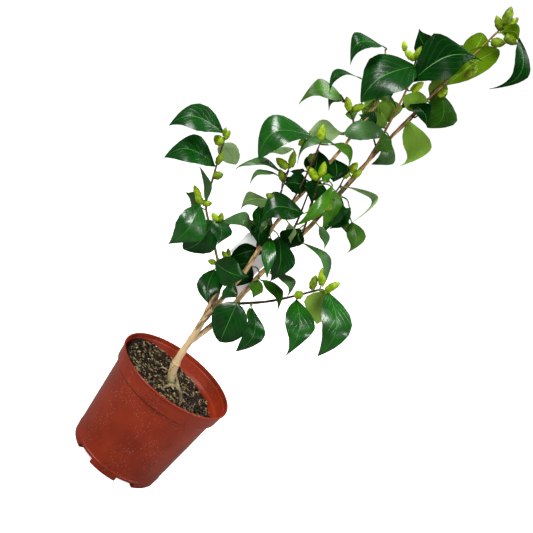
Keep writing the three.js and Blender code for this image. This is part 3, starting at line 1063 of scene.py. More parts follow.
class Foliage:
    """Leaves of every tone, gathered by piece and joined into meshes.

    ROWS are the points along a leaf that shows and along a hidden one, and COLUMNS those
    across it, as shares of its half width. VEINS are the colours of the veins beneath.
    """

    ROWS = {True: 17, False: 8}
    COLUMNS = (-1.0, -0.58, -0.022, 0.022, 0.58, 1.0)
    VEINS = ("90B05C", "5E8818")
    THICKNESS = 0.0006

    def __init__(self, wood: Wood, view: PhotoView) -> None:
        """Make the leaf materials.

        Args:
            wood: the wood that bears the leaves.
            view: the photograph's view.
        """
        self.wood = wood
        self.view = view
        self.rng = random.Random(SEED)
        self.sprays: dict[str, list] = {}
        self.shades: list[tuple] = []
        self.finishes = []
        for tone in Tone:
            top, top2, under, under2, rough, shine = tone.value
            name, vein = tone.name.lower(), self.VEINS[tone in (Tone.FRESH, Tone.MID)]
            self.finishes.append(LeafSkin(f"leaf_upper_{name}", top, top2, rough, shine).build())
            # The underside's colours carry painted light: they are made paler for the light that shines
            # through the blade.
            self.finishes.append(LeafSkin(f"leaf_under_{name}", under, under2, 0.55, 0.06, vein).build())
        self.finishes.append(PlainGrowth("midrib_skin", "3A7A26", "2E6A1E", 8.0, 0.4).build())
        self.finishes.append(PlainGrowth("midrib_skin_under", "8CB04C", "7CA040", 8.0, 0.5).build())

    def grid(self, leaf: Leaf, shown: bool = True) -> tuple[np.ndarray, np.ndarray]:
        """Shape one leaf.

        Args:
            leaf: the leaf's place and bends.
            shown: whether it shows in the photograph, and so has finer rows.

        Returns:
            The points of the upper face and of the underside, rows by columns by 3.
        """
        # The leaf's own axes: along, out of its upper face and to its side.
        chord = np.array(leaf.tip - leaf.base)
        length = float(np.linalg.norm(chord))
        axis = chord / length
        normal = np.array(leaf.normal)
        normal = normal - axis * (normal @ axis)
        normal /= np.linalg.norm(normal)
        side = np.cross(normal, axis)
        # The half width along the leaf: rounded at the foot, drawn out at the tip, faintly toothed.
        even = np.linspace(0, 1, self.ROWS[shown])
        s = 0.5 * even + 0.25 - 0.25 * np.cos(math.pi * even)
        t = np.array(self.COLUMNS)
        blunt = 0.8 + 0.35 * min(0.0, leaf.point) + (leaf.point >= 0) * 0.3 * np.clip(1 - 2.2 * s, 0, 1)
        drawn = 1 - max(0.0, leaf.point) * np.clip((s - 0.55) / 0.4, 0, 1)
        outline = np.sin(math.pi * s ** leaf.peak) ** blunt * drawn
        half = np.maximum(leaf.width / 2 * outline / 0.97, self.THICKNESS)
        half = half * (1 + 0.02 * np.sin(s * 38 + leaf.width * 900))
        # The midrib, bowed out of the face and to the side.
        bow = 4 * s * (1 - s)
        spine = np.array(leaf.base) + np.outer(length * s, axis)
        spine += np.outer(leaf.sweep * length * bow * (0.6 + 0.8 * s), side)
        spine += np.outer(leaf.arch * length * bow * (0.7 + 0.6 * s), normal)
        # The section across: twisted, folded up at the midrib, drooping and wavy at the edge.
        turn = leaf.twist * (s - 0.3)
        out = np.cos(turn)[:, None] * side + np.sin(turn)[:, None] * normal
        lift = np.cos(turn)[:, None] * normal - np.sin(turn)[:, None] * side
        fold = (leaf.fold + 0.06) * (1 - 0.5 * s)
        reach = half[:, None] * t[None, :]
        droop = 0.34 * half[:, None] * t[None, :] ** 2 * (0.4 + s)[:, None]
        rise = np.abs(reach) * np.sin(fold)[:, None] - droop
        beat = 9 * s[:, None] + 3 * np.sign(t)[None, :] + leaf.width * 700
        wave = leaf.ripple * np.sin(beat) * t[None, :] ** 2
        top = spine[:, None, :] + reach[:, :, None] * out[:, None, :] * np.cos(fold)[:, None, None]
        top = top + (rise + wave)[:, :, None] * lift[:, None, :]
        return top, top - self.THICKNESS * lift[:, None, :]

    def grow(self, spray: str, leaf: Leaf, tone: Tone, shown: bool = True) -> None:
        """Add a leaf to a spray and join it to the wood.

        Args:
            spray: the piece that the leaf is joined into.
            leaf: the leaf.
            tone: its shade.
            shown: whether it shows in the photograph.
        """
        top, under = self.grid(leaf, shown)
        self.sprays.setdefault(spray, []).append((top, under, list(Tone).index(tone)))
        way = Vector(top[1, 2] - top[0, 2]).normalized()
        self.wood.hold(Vector(top[0, 2]), way)
        rim = self.view.seen(np.concatenate([top[:, 0], top[::-1, -1]]))
        self.shades.append((rim, rim.min(axis=0), rim.max(axis=0), float(top[..., 1].max())))

    def screened(self, points: np.ndarray) -> np.ndarray:
        """Tell which points lie behind a placed leaf, as the photograph sees them.

        Args:
            points: points in metres, one a row.

        Returns:
            True for each point that a leaf hides.
        """
        spots = self.view.seen(points)
        x, y = spots[:, :1], spots[:, 1:]
        low, high = spots.min(axis=0), spots.max(axis=0)
        covered = np.zeros(len(spots), bool)
        for rim, least, most, depth in self.shades:
            if (most < low).any() or (least > high).any():
                continue
            after = np.roll(rim, -1, axis=0)
            crossing = (rim[:, 1] > y) != (after[:, 1] > y)
            step = (y - rim[:, 1]) / (after[:, 1] - rim[:, 1] + 1e-9)
            beyond = x < rim[:, 0] + step * (after[:, 0] - rim[:, 0])
            covered |= (np.count_nonzero(crossing & beyond, axis=1) % 2 == 1) & (points[:, 1] > depth)
        return covered

    def pattern(self, rows: int) -> tuple[list, np.ndarray, list, np.ndarray]:
        """Lay out one leaf's faces. Its two faces share the points of the rim.

        Args:
            rows: the points along the leaf.

        Returns:
            The row and column of each inner point, the corners of each face, whether
            each face is an upper one and whether it is on the midrib, and each point's
            place in the UV map.
        """
        columns = len(self.COLUMNS)
        inner = [(r, c) for r in range(1, rows - 1) for c in range(1, columns - 1)]
        lower = np.arange(rows * columns)
        for k, (r, c) in enumerate(inner):
            lower[r * columns + c] = rows * columns + k
        quads, kinds = [], []
        for r in range(rows - 1):
            for c in range(columns - 1):
                near, far = r * columns + c, (r + 1) * columns + c
                quads += [[near, far, far + 1, near + 1], lower[[near, near + 1, far + 1, far]].tolist()]
                kinds += [(True, c == 2), (False, c == 2)]
        places = [(r, c) for r in range(rows) for c in range(columns)] + inner
        where = [((self.COLUMNS[c] + 1) / 2, r / (rows - 1)) for r, c in places]
        return inner, np.array(quads), kinds, np.array(where)

    def join(self, spray: str, leaves: list, nodes: list[str]) -> None:
        """Join one spray's leaves into one mesh with its own UV map.

        Args:
            spray: the mesh's name.
            leaves: upper face, underside and tone of each leaf.
            nodes: the CAD masses that the mesh stands for.
        """
        inner, quads, kinds, where = self.pattern(len(leaves[0][0]))
        points, faces, slots = [], [], []
        for k, (top, under, tone) in enumerate(leaves):
            points += top.reshape(-1, 3).tolist() + [under[r, c].tolist() for r, c in inner]
            faces += (quads + k * len(where)).tolist()
            for upper, rib in kinds:
                slots.append(len(self.finishes) - 1 - upper if rib else 2 * tone + 1 - upper)
        mesh = bpy.data.meshes.new(spray)
        mesh.from_pydata(points, [], faces)
        loops = np.tile(where[quads.ravel()], (len(leaves), 1))
        mesh.uv_layers.new(name="blade").data.foreach_set("uv", loops.ravel())
        mesh.polygons.foreach_set("material_index", slots)
        placed(smoothed(mesh, 75), spray, nodes, self.finishes)


# Leaves that show: base and tip in pixels of the photograph, their depths and the width
# in millimetres, the turn about the axis in degrees (0 shows the upper face, 180 the
# underside), the bow out of the face and to the left of the way to the tip, the shade,
# and where it matters the fold in radians, how drawn out the tip is and the peak, which
# is above 1 where the leaf is widest past its middle.
SHOWN = {
    "leaves_left": [
        (224, 134, 168.7, 125.6, -27, -45, 50, -37, .12, -.15, Tone.DEEP, .5, .2),
        (215.6, 166, 164, 158, -27, -48, 56, -38, .12, -.16, Tone.DEEP, .5, .2),
        (222, 143, 236, 165, -27, 0, 30, 160, .1, 0, Tone.GREY, .2, -.5),
        (207, 202, 199, 167, -28, -34, 15, 38, .1, -.17, Tone.GREY, .3, .3),
        (200.5, 205, 168.4, 244, -36, -54, 54, 20, .08, .08, Tone.LIVE, .6, .5, .78),
        (213, 222, 183, 249, -32, -34, 48, 10, .08, .12, Tone.DEEP, .2, -.3),
        (200, 207, 187, 192, -14, 0, 30, 50, .05, 0, Tone.OLIVE),
        (219, 221, 217.5, 244.5, -26, -50, 32, 10, .1, .1, Tone.DEEP, .4),
        (222, 221, 252, 237, -25, -16, 27, 40, .2, .2, Tone.GREY, .3),
    ],
    "leaves_low": [
        (214.5, 269, 208.5, 304, -18, -40, 46, 35, .1, -.16, Tone.DEEP, .5, .4),
        (215, 263, 248.5, 276.5, -20, -30, 44, -12, .12, -.06, Tone.DEEP, .35),
        (228, 260, 267, 254, 2, 12, 28, 20, .15, .08, Tone.INK, .2),
        (252, 266, 236.5, 286.5, 23, 20, 24, 8, .05, .04, Tone.INK, .2),
        (230, 264, 254, 259, -4, -2, 24, -30, .1, -.05, Tone.INK, .3, .2),
        (234.5, 281.5, 221, 300, -14, -22, 28, 40, .1, .05, Tone.LIVE, .3),
        (237, 303, 220, 342, -24, -33, 56, -14, .1, .02, Tone.DEEP, .2, -.7),
        (251.5, 305.5, 236, 351.5, 2, -38, 36, 26, .2, .13, Tone.DEEP, .4, .2, 1.2),
        (250, 307, 248, 321, 5, 0, 8, 0, 0, 0, Tone.OLIVE),
        (258, 280, 253, 298, 4, -10, 24, 20, .1, 0, Tone.OLIVE),
        (260.8, 280.5, 277.5, 311, 0, -28, 24, 36, .12, .15, Tone.MID, .4),
        (275, 274.5, 286.5, 298, -8, -24, 24, 40, .2, .25, Tone.GREY, .3),
        (270.5, 237, 267, 280.5, -24, -66, 21, -14, .14, .02, Tone.LIVE, .3),
        (279, 236, 270, 281, -18, -26, 42, -20, .12, .18, Tone.DEEP, .2, .4),
        (269, 222, 262.5, 247.5, -20, -26, 38, -40, .15, -.15, Tone.INK, .3, .3),
        (271, 219, 262, 235, -20, -30, 26, 30, .1, -.1, Tone.GREY, .2, .2),
        (289, 223, 291, 243, -6, -8, 17, 150, .1, 0, Tone.GREY),
        (300, 228, 282, 248, 0, 6, 40, 30, .1, 0, Tone.INK, .2, .3),
    ],
    "leaves_right": [
        (296.5, 299.5, 285.8, 355.5, -20, -64, 44, 2, .2, .13, Tone.LIVE, .35),
        (325, 292, 316.5, 324, -14, -4, 50, 165, .1, -.04, Tone.OLIVE, .25, .3),
        (328, 292, 317.6, 356, -25, -72, 43, 0, .2, .2, Tone.LIVE, .3, 0, .9),
        (299, 240.8, 322, 288.5, -10, -25, 27, 55, .2, .13, Tone.GREY, .3, .3, 1.25),
    ],
    "leaves_centre": [
        (304, 214, 259.5, 226, -30, -50, 52, -30, .14, -.22, Tone.DEEP, .5),
        (333, 184.5, 293, 226, -28, -55, 22, 24, .12, .05, Tone.FRESH, .5),
        (335, 190, 322, 228, -16, -16, 30, 14, .1, .1, Tone.FRESH, .2, .3),
        (319, 226, 324, 249, -15, -24, 15, 20, .05, .14, Tone.GREY),
        (341, 197, 327, 229.5, -5, -20, 29, -35, .12, .12, Tone.DEEP, .4),
        (350, 207, 330, 229, 6, -10, 29, -40, .12, .15, Tone.DEEP, .4),
        (281, 171, 235.6, 169.5, -25, -45, 20, -55, .12, -.1, Tone.GREY, .3, .5, .8),
        (279, 176.5, 249.4, 185, -28, -50, 15, -55, .15, -.17, Tone.GREY, .3, .3),
        (305, 171, 290, 172, -20, -30, 18, 55, .05, 0, Tone.DEEP),
        (308, 186, 284, 184, -25, -36, 30, 10, .1, -.1, Tone.INK, .2, .3),
        (302, 178, 292, 192, -20, -20, 32, 20, .1, -.1, Tone.INK, .2, .3),
        (270, 201, 240.7, 208.8, -33, -48, 30, 140, .15, -.3, Tone.INK, .35),
        (258, 205, 256, 232, -30, -36, 34, 58, .1, 0, Tone.DEEP),
        (342, 187, 354, 221.5, 5, 0, 25, 112, .1, .63, Tone.GREY, .2, 0, .85),
        (351.5, 221.5, 347.5, 253, 5, -20, 29, -22, .12, .24, Tone.OLIVE, .35),
    ],
    "leaves_upper": [
        (313.5, 137, 258.4, 159.5, -20, -45, 56, -32, .14, -.23, Tone.LIVE, .5, -.1, 1.12),
        (294, 148.5, 267, 153.5, -20, -34, 18, 125, .05, -.05, Tone.GREY),
        (309, 131, 342.5, 133, -8, 4, 38, 155, .1, -.05, Tone.GREY, .2),
        (339, 147.5, 297.5, 164, -15, -40, 22, -52, .2, -.2, Tone.GREY, .3),
        (327.8, 145, 347.6, 169.5, -12, -30, 22, 45, .2, .22, Tone.OLIVE, .3),
        (319, 151, 315, 180, -14, -24, 38, -20, .1, 0, Tone.INK, .2, .3),
        (334, 158, 333, 182, -10, -20, 38, 20, .1, .1, Tone.INK, .2, .3),
        (319, 180, 311, 202, -20, -30, 36, 20, .1, 0, Tone.INK, .2),
        (322, 181, 334, 177, -26, -32, 14, 30, .05, .1, Tone.FRESH, .3),
        (388, 137, 344, 134, -5, -20, 30, -24, .12, -.08, Tone.GREY, .3, -.6, 1.35),
        (389, 136, 376, 150, -2, -14, 25, 20, .2, .1, Tone.OLIVE, .3, .1),
        (390, 140, 371.5, 164.5, 14, 20, 27, 25, .1, .22, Tone.GREY, .3, .2),
        (376, 124, 359, 115, -2, -14, 24, 20, .1, -.1, Tone.DEEP),
        (381, 112, 372, 129, 4, 10, 32, 150, .1, .05, Tone.MID, .2, .3),
        (372, 102, 362, 116, 4, -6, 22, 140, .1, 0, Tone.MID),
        (349, 110, 354, 120, -8, -16, 18, 20, .1, 0, Tone.FRESH),
        (361, 103, 397, 113, 2, -4, 22, 55, .2, .2, Tone.OLIVE, .3),
        (386, 98, 388, 122, 6, 10, 36, 160, .1, .1, Tone.MID, .2, .3),
    ],
    "leaves_top": [
        (382.8, 46, 350.5, 64.5, -30, -46, 36, -40, .2, -.24, Tone.DEEP, .4),
        (358, 77, 330, 95, -25, -42, 20, -48, .2, -.24, Tone.DEEP, .4),
        (343.5, 101, 299, 103.5, 0, -34, 34, -32, .16, -.17, Tone.OLIVE, .5),
        (343, 102, 329, 110.5, 0, -26, 15, -40, .1, -.24, Tone.GREY, .3),
        (415.7, 65.9, 360.6, 102, -32, -56, 72, -33, .065, -.1, Tone.DEEP, .35, .2, .8),
        (408.5, 84.5, 482, 60.6, -34, -26, 78, 24, .06, .16, Tone.INK, .7, .85, 1.1),
        (434, 56, 419, 29, -22, -14, 34, 30, .1, .05, Tone.INK, .4),
        (427, 101, 402, 97, -4, 4, 32, 150, .15, .06, Tone.MID, .2, -.2),
        (442, 77, 429, 104, 4, 12, 32, 150, .1, .05, Tone.OLIVE, .2, .4),
        (442, 95, 428, 128, 4, -2, 44, 20, .1, .22, Tone.MID, .2, -.2),
        (410, 104, 426.5, 126, -4, -20, 28, 35, .12, .12, Tone.INK, .55, .4),
        (408, 120, 400.5, 166, 14, 4, 42, 165, .12, .26, Tone.MID, .3),
        (466, 61, 483, 33.5, 2, 14, 35, 165, .05, -.06, Tone.FRESH, .1, -.6),
        (446.5, 85.5, 499, 50, -16, -2, 35, 162, .1, .02, Tone.FRESH, .1, -.5, 1.45),
        (499.5, 33, 518, 43, -8, -20, 24, 150, .1, .3, Tone.FRESH, .3, .2),
        (518.5, 38, 489.4, 88.8, -8, -36, 25, 12, .14, .27, Tone.INK, .25),
    ],
}

# Buds that show: foot and tip in pixels, depth and width in millimetres, and the shade.
BUDS = [
    (222, 144, 214.5, 135.5, -28, 15, Bud.LIME), (225.5, 139, 230, 130, -27, 8, Bud.LIME),
    (224, 136, 226, 127, -26, 7, Bud.OLIVE), (217, 164, 223, 152, -28, 10, Bud.OLIVE),
    (200, 199, 194, 185, -27, 10, Bud.LIME), (201.5, 204, 196, 193, -29, 11, Bud.LIME),
    (203, 204, 212.5, 203, -27, 9, Bud.LIME), (217.5, 221, 212, 212.5, -27, 10, Bud.LIME),
    (220, 222, 222, 212.5, -26, 9, Bud.OLIVE), (215.5, 263, 207.7, 260.5, -15, 9, Bud.LIME),
    (228, 259, 222, 251, -14, 9, Bud.LIME), (229, 257, 228, 248, -13, 7, Bud.OLIVE),
    (295.5, 297, 303, 292, -22, 13, Bud.LIME), (311.7, 289, 316, 275, -24, 12, Bud.OLIVE),
    (321.5, 285, 322.5, 267.5, -26, 12, Bud.LIME), (326, 290, 340.5, 282.5, -26, 11, Bud.LIME),
    (325, 292, 333, 289, -24, 8, Bud.LIME), (287.5, 168, 276, 158, -26, 13, Bud.LIME),
    (291, 167, 294, 151, -26, 11, Bud.LIME), (284.5, 182, 279.5, 169, -26, 11, Bud.OLIVE),
    (274.5, 200, 266, 193.5, -36, 11, Bud.OLIVE), (320, 142, 323.5, 124.5, -22, 13, Bud.LIME),
    (307, 140, 298, 145, -20, 11, Bud.LIME), (313, 154, 309, 162.5, -22, 10, Bud.OLIVE),
    (317.5, 179.5, 307, 166.5, -24, 13, Bud.LIME), (321, 177, 325, 161.5, -24, 12, Bud.LIME),
    (344.5, 178, 348, 169, 5, 11, Bud.LIME), (350, 172, 357.5, 162.5, 5, 12, Bud.LIME),
    (353, 177, 362.5, 169.5, 5, 10, Bud.LIME), (349.5, 110.5, 346.5, 96.5, -14, 11, Bud.LIME),
    (352, 110, 365.5, 105, -8, 11, Bud.LIME), (405, 51, 404, 40.5, -32, 8, Bud.LIME),
    (414.5, 60, 404.5, 50, -32, 10, Bud.LIME), (415.5, 59, 421.5, 46, -32, 10, Bud.OLIVE),
    (456, 56, 461, 47, -12, 9, Bud.OLIVE), (411.5, 91, 424, 82, -34, 11, Bud.LIME),
    (438, 96, 448, 90, -6, 9, Bud.LIME), (477, 69, 464, 76.5, -12, 11, Bud.BROWN),
    (504.5, 25, 511.8, 6.3, -8, 14, Bud.OLIVE), (500.5, 30, 496.5, 15.3, -6, 11, Bud.OLIVE),
    (504, 29, 516, 18.5, -4, 12, Bud.LIME), (511, 25, 518.5, 17.5, -2, 9, Bud.BROWN),
    (491, 42, 505.8, 43.5, -10, 13, Bud.OLIVE), (505, 36, 517, 44.5, -10, 13, Bud.OLIVE),
    (213.5, 176.5, 223.6, 174, -30, 12, Bud.OLIVE), (331, 205, 325, 212, -20, 10, Bud.OLIVE),
    (262, 232, 268, 226, -24, 9, Bud.OLIVE),
]

# Twigs that show, as pixels and depth in millimetres from foot to tip.
SHOWN_TWIGS = [
    [(335.7, 193.2, 20), (340, 186, 14), (344.6, 177.5, 6), (351, 171, 5)],
    [(281.6, 191.8, -32), (282.6, 182, -29), (289, 168, -26)],
    [(299.5, 197, -22), (307, 174, -21), (313.5, 163, -21), (319.7, 144, -22)],
    [(310, 206, -22), (315, 193, -24), (318.5, 179, -24)],
    [(352, 131, -4), (365, 114, -6), (382, 93, -12)],
    [(414, 118, 2), (425, 108, 0), (438, 96, -4)],
    [(384, 92, -8), (374, 84, -14), (361, 78.5, -22)],
]

# The CAD masses that each piece of leaves stands for.
MASSES = {
    "leaves_left": ["left_top", "left_under", "left_mid", "left_inner"],
    "leaves_low": ["low_left", "low_front", "heart"],
    "leaves_right": ["low_right", "right_arm"],
    "leaves_centre": ["centre", "left_centre", "left_high", "centre_high", "centre_back", "right_mid"],
    "leaves_upper": ["upper_mid", "right_upper", "right_high", "upper_left", "top_left", "top_front"],
    "leaves_top": ["top_right", "crown_right", "tip"],
    "leaves_back": ["upper_back", "back_low", "back_left", "back_mid", "back_high", "back_top"],
}


@dataclass
class Buds:
    """Plump camellia buds with overlapping scales, joined by shade."""

    wood: Wood
    rows: int = 10
    steps: int = 12
    brown_from: int = 7
    stalk: float = 0.024
    found: dict = field(default_factory=dict)

    def add(self, base: Vector, tip: Vector, width: float, shade: Bud) -> None:
        """Add a bud from its foot to its tip and join it to the wood.

        Args:
            base: the foot in metres.
            tip: the tip in metres.
            width: the width in metres.
            shade: the shade of its scales.
        """
        self.found.setdefault(shade, []).append((base, tip, width))
        self.wood.hold(base, (tip - base).normalized(), self.stalk)

    def solid(self, base: Vector, tip: Vector, width: float) -> np.ndarray:
        """Shape one bud as a plump spindle with stepped scales.

        Args:
            base: the foot in metres.
            tip: the tip in metres.
            width: the width in metres.

        Returns:
            The bud's points in metres, ring by ring.
        """
        axis = np.array((tip - base).normalized())
        side = np.cross(axis, (0.3, 0.9, 0.2))
        side /= np.linalg.norm(side)
        other = np.cross(axis, side)
        length = (tip - base).length
        points = []
        for k in range(self.rows):
            s = k / (self.rows - 1)
            girth = max(0.04, math.sin(math.pi * min(1, 0.16 + 0.84 * s)) ** 0.7) * width / 2
            for j in range(self.steps):
                angle = 2 * math.pi * j / self.steps
                scale = (3.2 * s + angle / (2 * math.pi) * 2) % 1
                ring = math.cos(angle) * side + math.sin(angle) * other
                points.append(np.array(base) + axis * length * s + ring * girth * (1.08 - 0.17 * scale))
        return np.array(points)

    def build(self) -> None:
        """Join the buds of each shade into one mesh."""
        brown = PlainGrowth("bud_tip_brown", "6E4A26", "8A6238", 2.0, 0.6).build()
        faces = []
        for k in range(self.rows - 1):
            for j in range(self.steps):
                after = (j + 1) % self.steps
                low, high = k * self.steps, (k + 1) * self.steps
                faces.append((low + j, low + after, high + after, high + j))
        faces.append(tuple(range(self.steps))[::-1])
        faces.append(tuple((self.rows - 1) * self.steps + j for j in range(self.steps)))
        count = self.rows * self.steps
        for shade, buds in self.found.items():
            name = shade.name.lower()
            points = [p for bud in buds for p in self.solid(*bud).tolist()]
            joined = [tuple(i + n * count for i in face) for n in range(len(buds)) for face in faces]
            mesh = bpy.data.meshes.new(f"buds_{name}")
            mesh.from_pydata(points, [], joined)
            mesh.validate()
            mesh.shade_smooth()
            if shade is Bud.BROWN:
                first = self.brown_from * self.steps
                tips = [int(i % len(faces) >= first) for i in range(len(mesh.polygons))]
                mesh.polygons.foreach_set("material_index", tips)
            skin = PlainGrowth(f"bud_scale_{name}", *shade.value, 3.0, 0.42).build()
            placed(mesh, mesh.name, [], [skin, brown])


class Crown:
    """The leaves and buds: those that show, and the hidden ones that a rule grows.

    A back mass gets up to SHOOTS shoots from ENDS tries, and a shoot up to NODES leaves
    from TRIES tries each, all in one of TONES. ROOM is kept between leaves' middles, LEAST
    is the shortest shoot, and leaves reach MARGIN past the CAD's box, in metres. A hidden
    leaf points OUTWARD from its mass, with a DRIFT to the back and down and a random
    SPREAD. Its length in metres lies within LENGTHS and its width, as a share of that,
    within WIDTHS. It starts STALK metres from its twig.
    """

    SHOOTS = 14
    ENDS = 160
    NODES = 5
    TRIES = 60
    ROOM = 0.020
    LEAST = 0.010
    MARGIN = 0.004
    TONES = (Tone.DEEP, Tone.DEEP, Tone.LIVE, Tone.MID)
    OUTWARD = 0.7
    DRIFT = (0, 0.35, -0.25)
    SPREAD = 0.9
    LENGTHS = (0.046, 0.084)
    WIDTHS = (0.46, 0.56)
    STALK = 0.008

    def __init__(self, wood: Wood, view: PhotoView) -> None:
        """Start the leaves and buds.

        Args:
            wood: the wood that bears them.
            view: the photograph's view.
        """
        self.wood = wood
        self.view = view
        self.leaves = Foliage(wood, view)
        self.buds = Buds(wood)
        self.rng = random.Random(SEED + 1)
        self.low, self.high = (np.array(corner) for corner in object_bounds())
        self.hearts: list[Vector] = []

    def show(self) -> None:
        """Place every leaf, bud and twig that the photograph shows."""
        for points in SHOWN_TWIGS:
            via = [self.view.at(*point) for point in points]
            near = self.wood.nearest(via[0])[0]
            self.wood.twig([near] + via if (near - via[0]).length > 0.003 else via, 1.25, 0.8)
        for spray, rows in SHOWN.items():
            for row in rows:
                self.place(spray, *row)
        for bx, by, tx, ty, depth, width, shade in BUDS:
            self.buds.add(self.view.at(bx, by, depth), self.view.at(tx, ty, depth - 2), width * MM, shade)

    def place(self, spray: str, bx: float, by: float, tx: float, ty: float, depth: float, tip_depth: float,
              width: float, turn: float, arch: float, sweep: float, tone: Tone, fold: float = 0.3,
              point: float = 0.6, peak: float = 0.88) -> None:
        """Place one shown leaf from its row of the table.

        Args:
            spray: the piece that the leaf is joined into.
            bx: the base's pixel x.
            by: the base's pixel y.
            tx: the tip's pixel x.
            ty: the tip's pixel y.
            depth: the base's Y in millimetres.
            tip_depth: the tip's Y in millimetres.
            width: the leaf's width in millimetres.
            turn: the turn about its axis in degrees.
            arch: the bow out of its upper face, as a share of its length.
            sweep: the bow to the left of the way to the tip, as the camera sees it.
            tone: its shade.
            fold: how far each half is folded up from flat, in radians.
            point: how drawn out the tip is, 0 for plain, below 0 for a blunter leaf.
            peak: above 1 the leaf is widest past its middle, below 1 before it.
        """
        base, tip = self.view.at(bx, by, depth), self.view.at(tx, ty, tip_depth)
        axis = (tip - base).normalized()
        facing = self.view.eye - (base + tip) / 2
        facing = (facing - axis * facing.dot(axis)).normalized()
        normal = Matrix.Rotation(math.radians(-turn), 3, axis) @ facing
        bow = facing.cross(axis) * sweep
        rng = self.leaves.rng
        leaf = Leaf(base, tip, width * MM, normal, arch + bow.dot(normal), bow.dot(normal.cross(axis)), fold,
                    rng.uniform(-0.15, 0.15), rng.uniform(0.0008, 0.0026), point, peak)
        self.leaves.grow(spray, leaf, tone)

    def fill(self) -> None:
        """Grow the hidden leaves of each back mass on twigs from the nearest limb, by the seeded rule."""
        for mass in MASSES["leaves_back"]:
            low, high = (Vector(corner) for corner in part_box(f"foliage_{mass}"))
            shoots = 0
            for _ in range(self.ENDS):
                end = Vector([self.rng.uniform(a, b) for a, b in zip(low, high)])
                shoots += self.shoot(end, (low + high) / 2)
                if shoots == self.SHOOTS:
                    break

    def hidden(self, points: list[Vector]) -> bool:
        """Tell whether all points lie behind shown leaves."""
        return bool(self.leaves.screened(np.array([tuple(point) for point in points])).all())

    def shoot(self, end: Vector, centre: Vector) -> bool:
        """Grow one twig with alternate leaves where shown leaves hide it.

        Args:
            end: where the twig ends.
            centre: the middle of the mass that it grows in.

        Returns:
            Whether the twig found room for a leaf.
        """
        near, way, gap = self.wood.nearest(end)
        middle = near.lerp(end, 0.5) + way * 0.15 * gap
        if gap < self.LEAST or not self.hidden([near.lerp(middle, 0.7), middle, middle.lerp(end, 0.5), end]):
            return False
        grown = []
        for k in range(self.NODES):
            share = 0.35 + 0.65 * k / (self.NODES - 1)
            base = near.lerp(middle, share * 2) if share < 0.5 else middle.lerp(end, share * 2 - 1)
            for _ in range(self.TRIES):
                leaf = self.hidden_leaf(base, centre)
                heart = (leaf.base + leaf.tip) / 2
                crowded = any((heart - other).length < self.ROOM for other in self.hearts)
                if crowded or not self.hidden([leaf.base, heart, leaf.tip]):
                    continue
                top = self.leaves.grid(leaf, False)[0].reshape(-1, 3)
                inside = (top > self.low - self.MARGIN).all() and (top < self.high + self.MARGIN).all()
                if inside and self.leaves.screened(top).all():
                    grown.append(leaf)
                    self.hearts.append(heart)
                    break
        if not grown:
            return False
        self.wood.twig([near, near.lerp(middle, 0.5), middle, end])
        tone = self.rng.choice(self.TONES)
        for leaf in grown:
            self.leaves.grow("leaves_back", leaf, tone, False)
        return True

    def hidden_leaf(self, base: Vector, centre: Vector) -> Leaf:
        """Shape a leaf at a node of a hidden twig, pointing out and a little down.

        Args:
            base: the node's place.
            centre: the middle of the mass that it grows in.

        Returns:
            The leaf.
        """
        pick = self.rng.uniform
        out = (base - centre).normalized() * self.OUTWARD + Vector(self.DRIFT)
        out += Vector([pick(-self.SPREAD, self.SPREAD) for _ in range(3)])
        out.normalize()
        length = pick(*self.LENGTHS)
        face = Vector((pick(-0.6, 0.6), 0.5, 1.0))
        start = base + out * self.STALK
        width = length * pick(*self.WIDTHS)
        bends = {"arch": pick(0.03, 0.14), "sweep": pick(-0.06, 0.06)}
        bends |= {"fold": pick(0.2, 0.45), "twist": pick(-0.3, 0.3)}
        return Leaf(start, start + out * length, width, face, ripple=0.001, **bends)

    def build(self) -> None:
        """Place the shown and the hidden growth, and build every mesh."""
        self.show()
        self.fill()
        for spray, leaves in self.leaves.sprays.items():
            self.leaves.join(spray, leaves, [f"foliage_{mass}" for mass in MASSES[spray]])
        self.buds.build()


@dataclass(frozen=True)
class Lamp:
    """One soft square lamp: its place, aim and side in metres and its power in watts."""

    name: str
    spot: tuple[float, float, float]
    aim: tuple[float, float, float]
    side: float
    power: float

    def build(self) -> None:
        """Put the lamp in the scene."""
        data = bpy.data.lights.new(self.name, "AREA")
        data.size = self.side
        data.energy = self.power
        way = Vector(self.aim) - Vector(self.spot)
        turn = way.to_track_quat("-Z", "Y").to_matrix().to_4x4()
        linked(self.name, data).matrix_world = Matrix.Translation(self.spot) @ turn


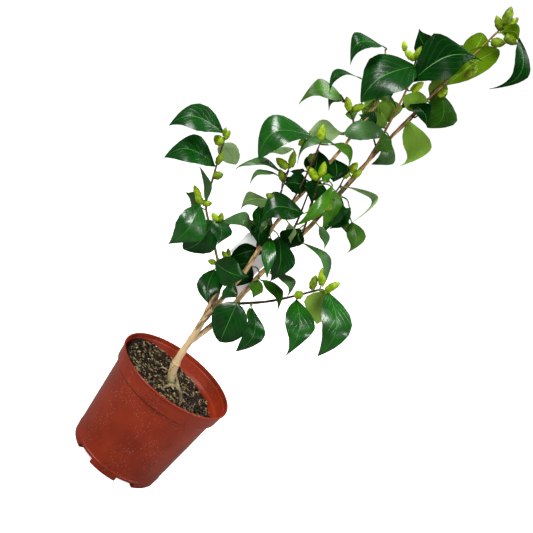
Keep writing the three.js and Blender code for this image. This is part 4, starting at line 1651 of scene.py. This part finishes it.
@dataclass
class Studio:
    """The pale floor, the white surround and the soft lights."""

    floor_size: float = 8.0
    surround: float = 0.19
    backdrop: float = 1.05
    floor_glow: float = 0.8
    lamps: tuple[Lamp, ...] = (
        Lamp("key", (-1.5, -1.3, 1.9), (0, 0, 0.45), 0.8, 64),
        Lamp("top", (0.2, 0.4, 2.6), (0, 0, 0.5), 1.0, 60),
        Lamp("front", (0.35, -2.0, 1.25), (0, 0, 0.55), 0.4, 12),
        Lamp("rim", (1.9, -0.6, 1.3), (0, 0, 0.5), 0.4, 24),
    )

    def floor(self) -> None:
        """Make the floor, paler to the camera than to the light that it throws back."""
        half = self.floor_size / 2
        mesh = bpy.data.meshes.new("floor")
        corners = [(x * half, y * half, 0) for x, y in ((-1, -1), (1, -1), (1, 1), (-1, 1))]
        mesh.from_pydata(corners, [], [(0, 1, 2, 3)])
        paint = Skin("studio_floor_painted", 0.9, 0.1)
        direct = paint.node("ShaderNodeLightPath").outputs["Is Camera Ray"]
        paint.put("Emission Color", (1, 1, 1, 1))
        paint.put("Emission Strength", paint.maths("MULTIPLY", direct, self.floor_glow))
        mesh.materials.append(paint.done(paint.mix(direct, "8C8C8A", "F4F4F2")))
        linked("floor", mesh)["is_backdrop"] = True

    def build(self) -> None:
        """Make the floor, the surround and the lamps."""
        self.floor()
        world = bpy.data.worlds.new("surround")
        world.use_nodes = True
        tree = world.node_tree
        sky = tree.nodes["Background"].inputs
        direct = add(tree, "ShaderNodeLightPath").outputs["Is Camera Ray"]
        glow = add(tree, "ShaderNodeMapRange", {0: direct, 3: self.surround, 4: self.backdrop}).outputs[0]
        feed(tree, (1, 1, 1, 1), sky["Color"])
        feed(tree, glow, sky["Strength"])
        bpy.context.scene.world = world
        bpy.context.scene.view_settings.view_transform = "Standard"
        for lamp in self.lamps:
            lamp.build()


def dress_label() -> None:
    """Give the CAD's label its card: white, faintly pink towards the lower right, with a satin film.

    The card is thin, and its faint glow is painted light that brightens it where the leaves shade it.
    """
    card = Skin("label_card_laminated", 0.35)
    # Painted glow: a constant emission that brightens the card where the leaves shade it.
    card.put("Emission Color", (1, 1, 1, 1))
    card.put("Emission Strength", 0.22)
    x, _, z = card.split(card.place)
    pink = card.ramp(card.maths("MULTIPLY_ADD", z, -0.8, x), -0.33, -0.29)
    label = next(o for o in bpy.data.objects if o.name.split(".")[0] == "label")
    label.data.materials.clear()
    label.data.materials.append(card.done(card.mix(pink, "E2E6E2", "E3C9C6")))


def main() -> None:
    """Build the shrub, the pot and the studio in order."""
    logging.basicConfig(level=logging.INFO, format="%(message)s")
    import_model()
    view = PhotoView()
    view.build()
    Studio().build()
    NurseryPot().build()
    Compost().build()
    wood = Wood()
    wood.build_limbs()
    Crown(wood, view).build()
    wood.build_twigs()
    dress_label()


if __name__ == "__main__":
    main()
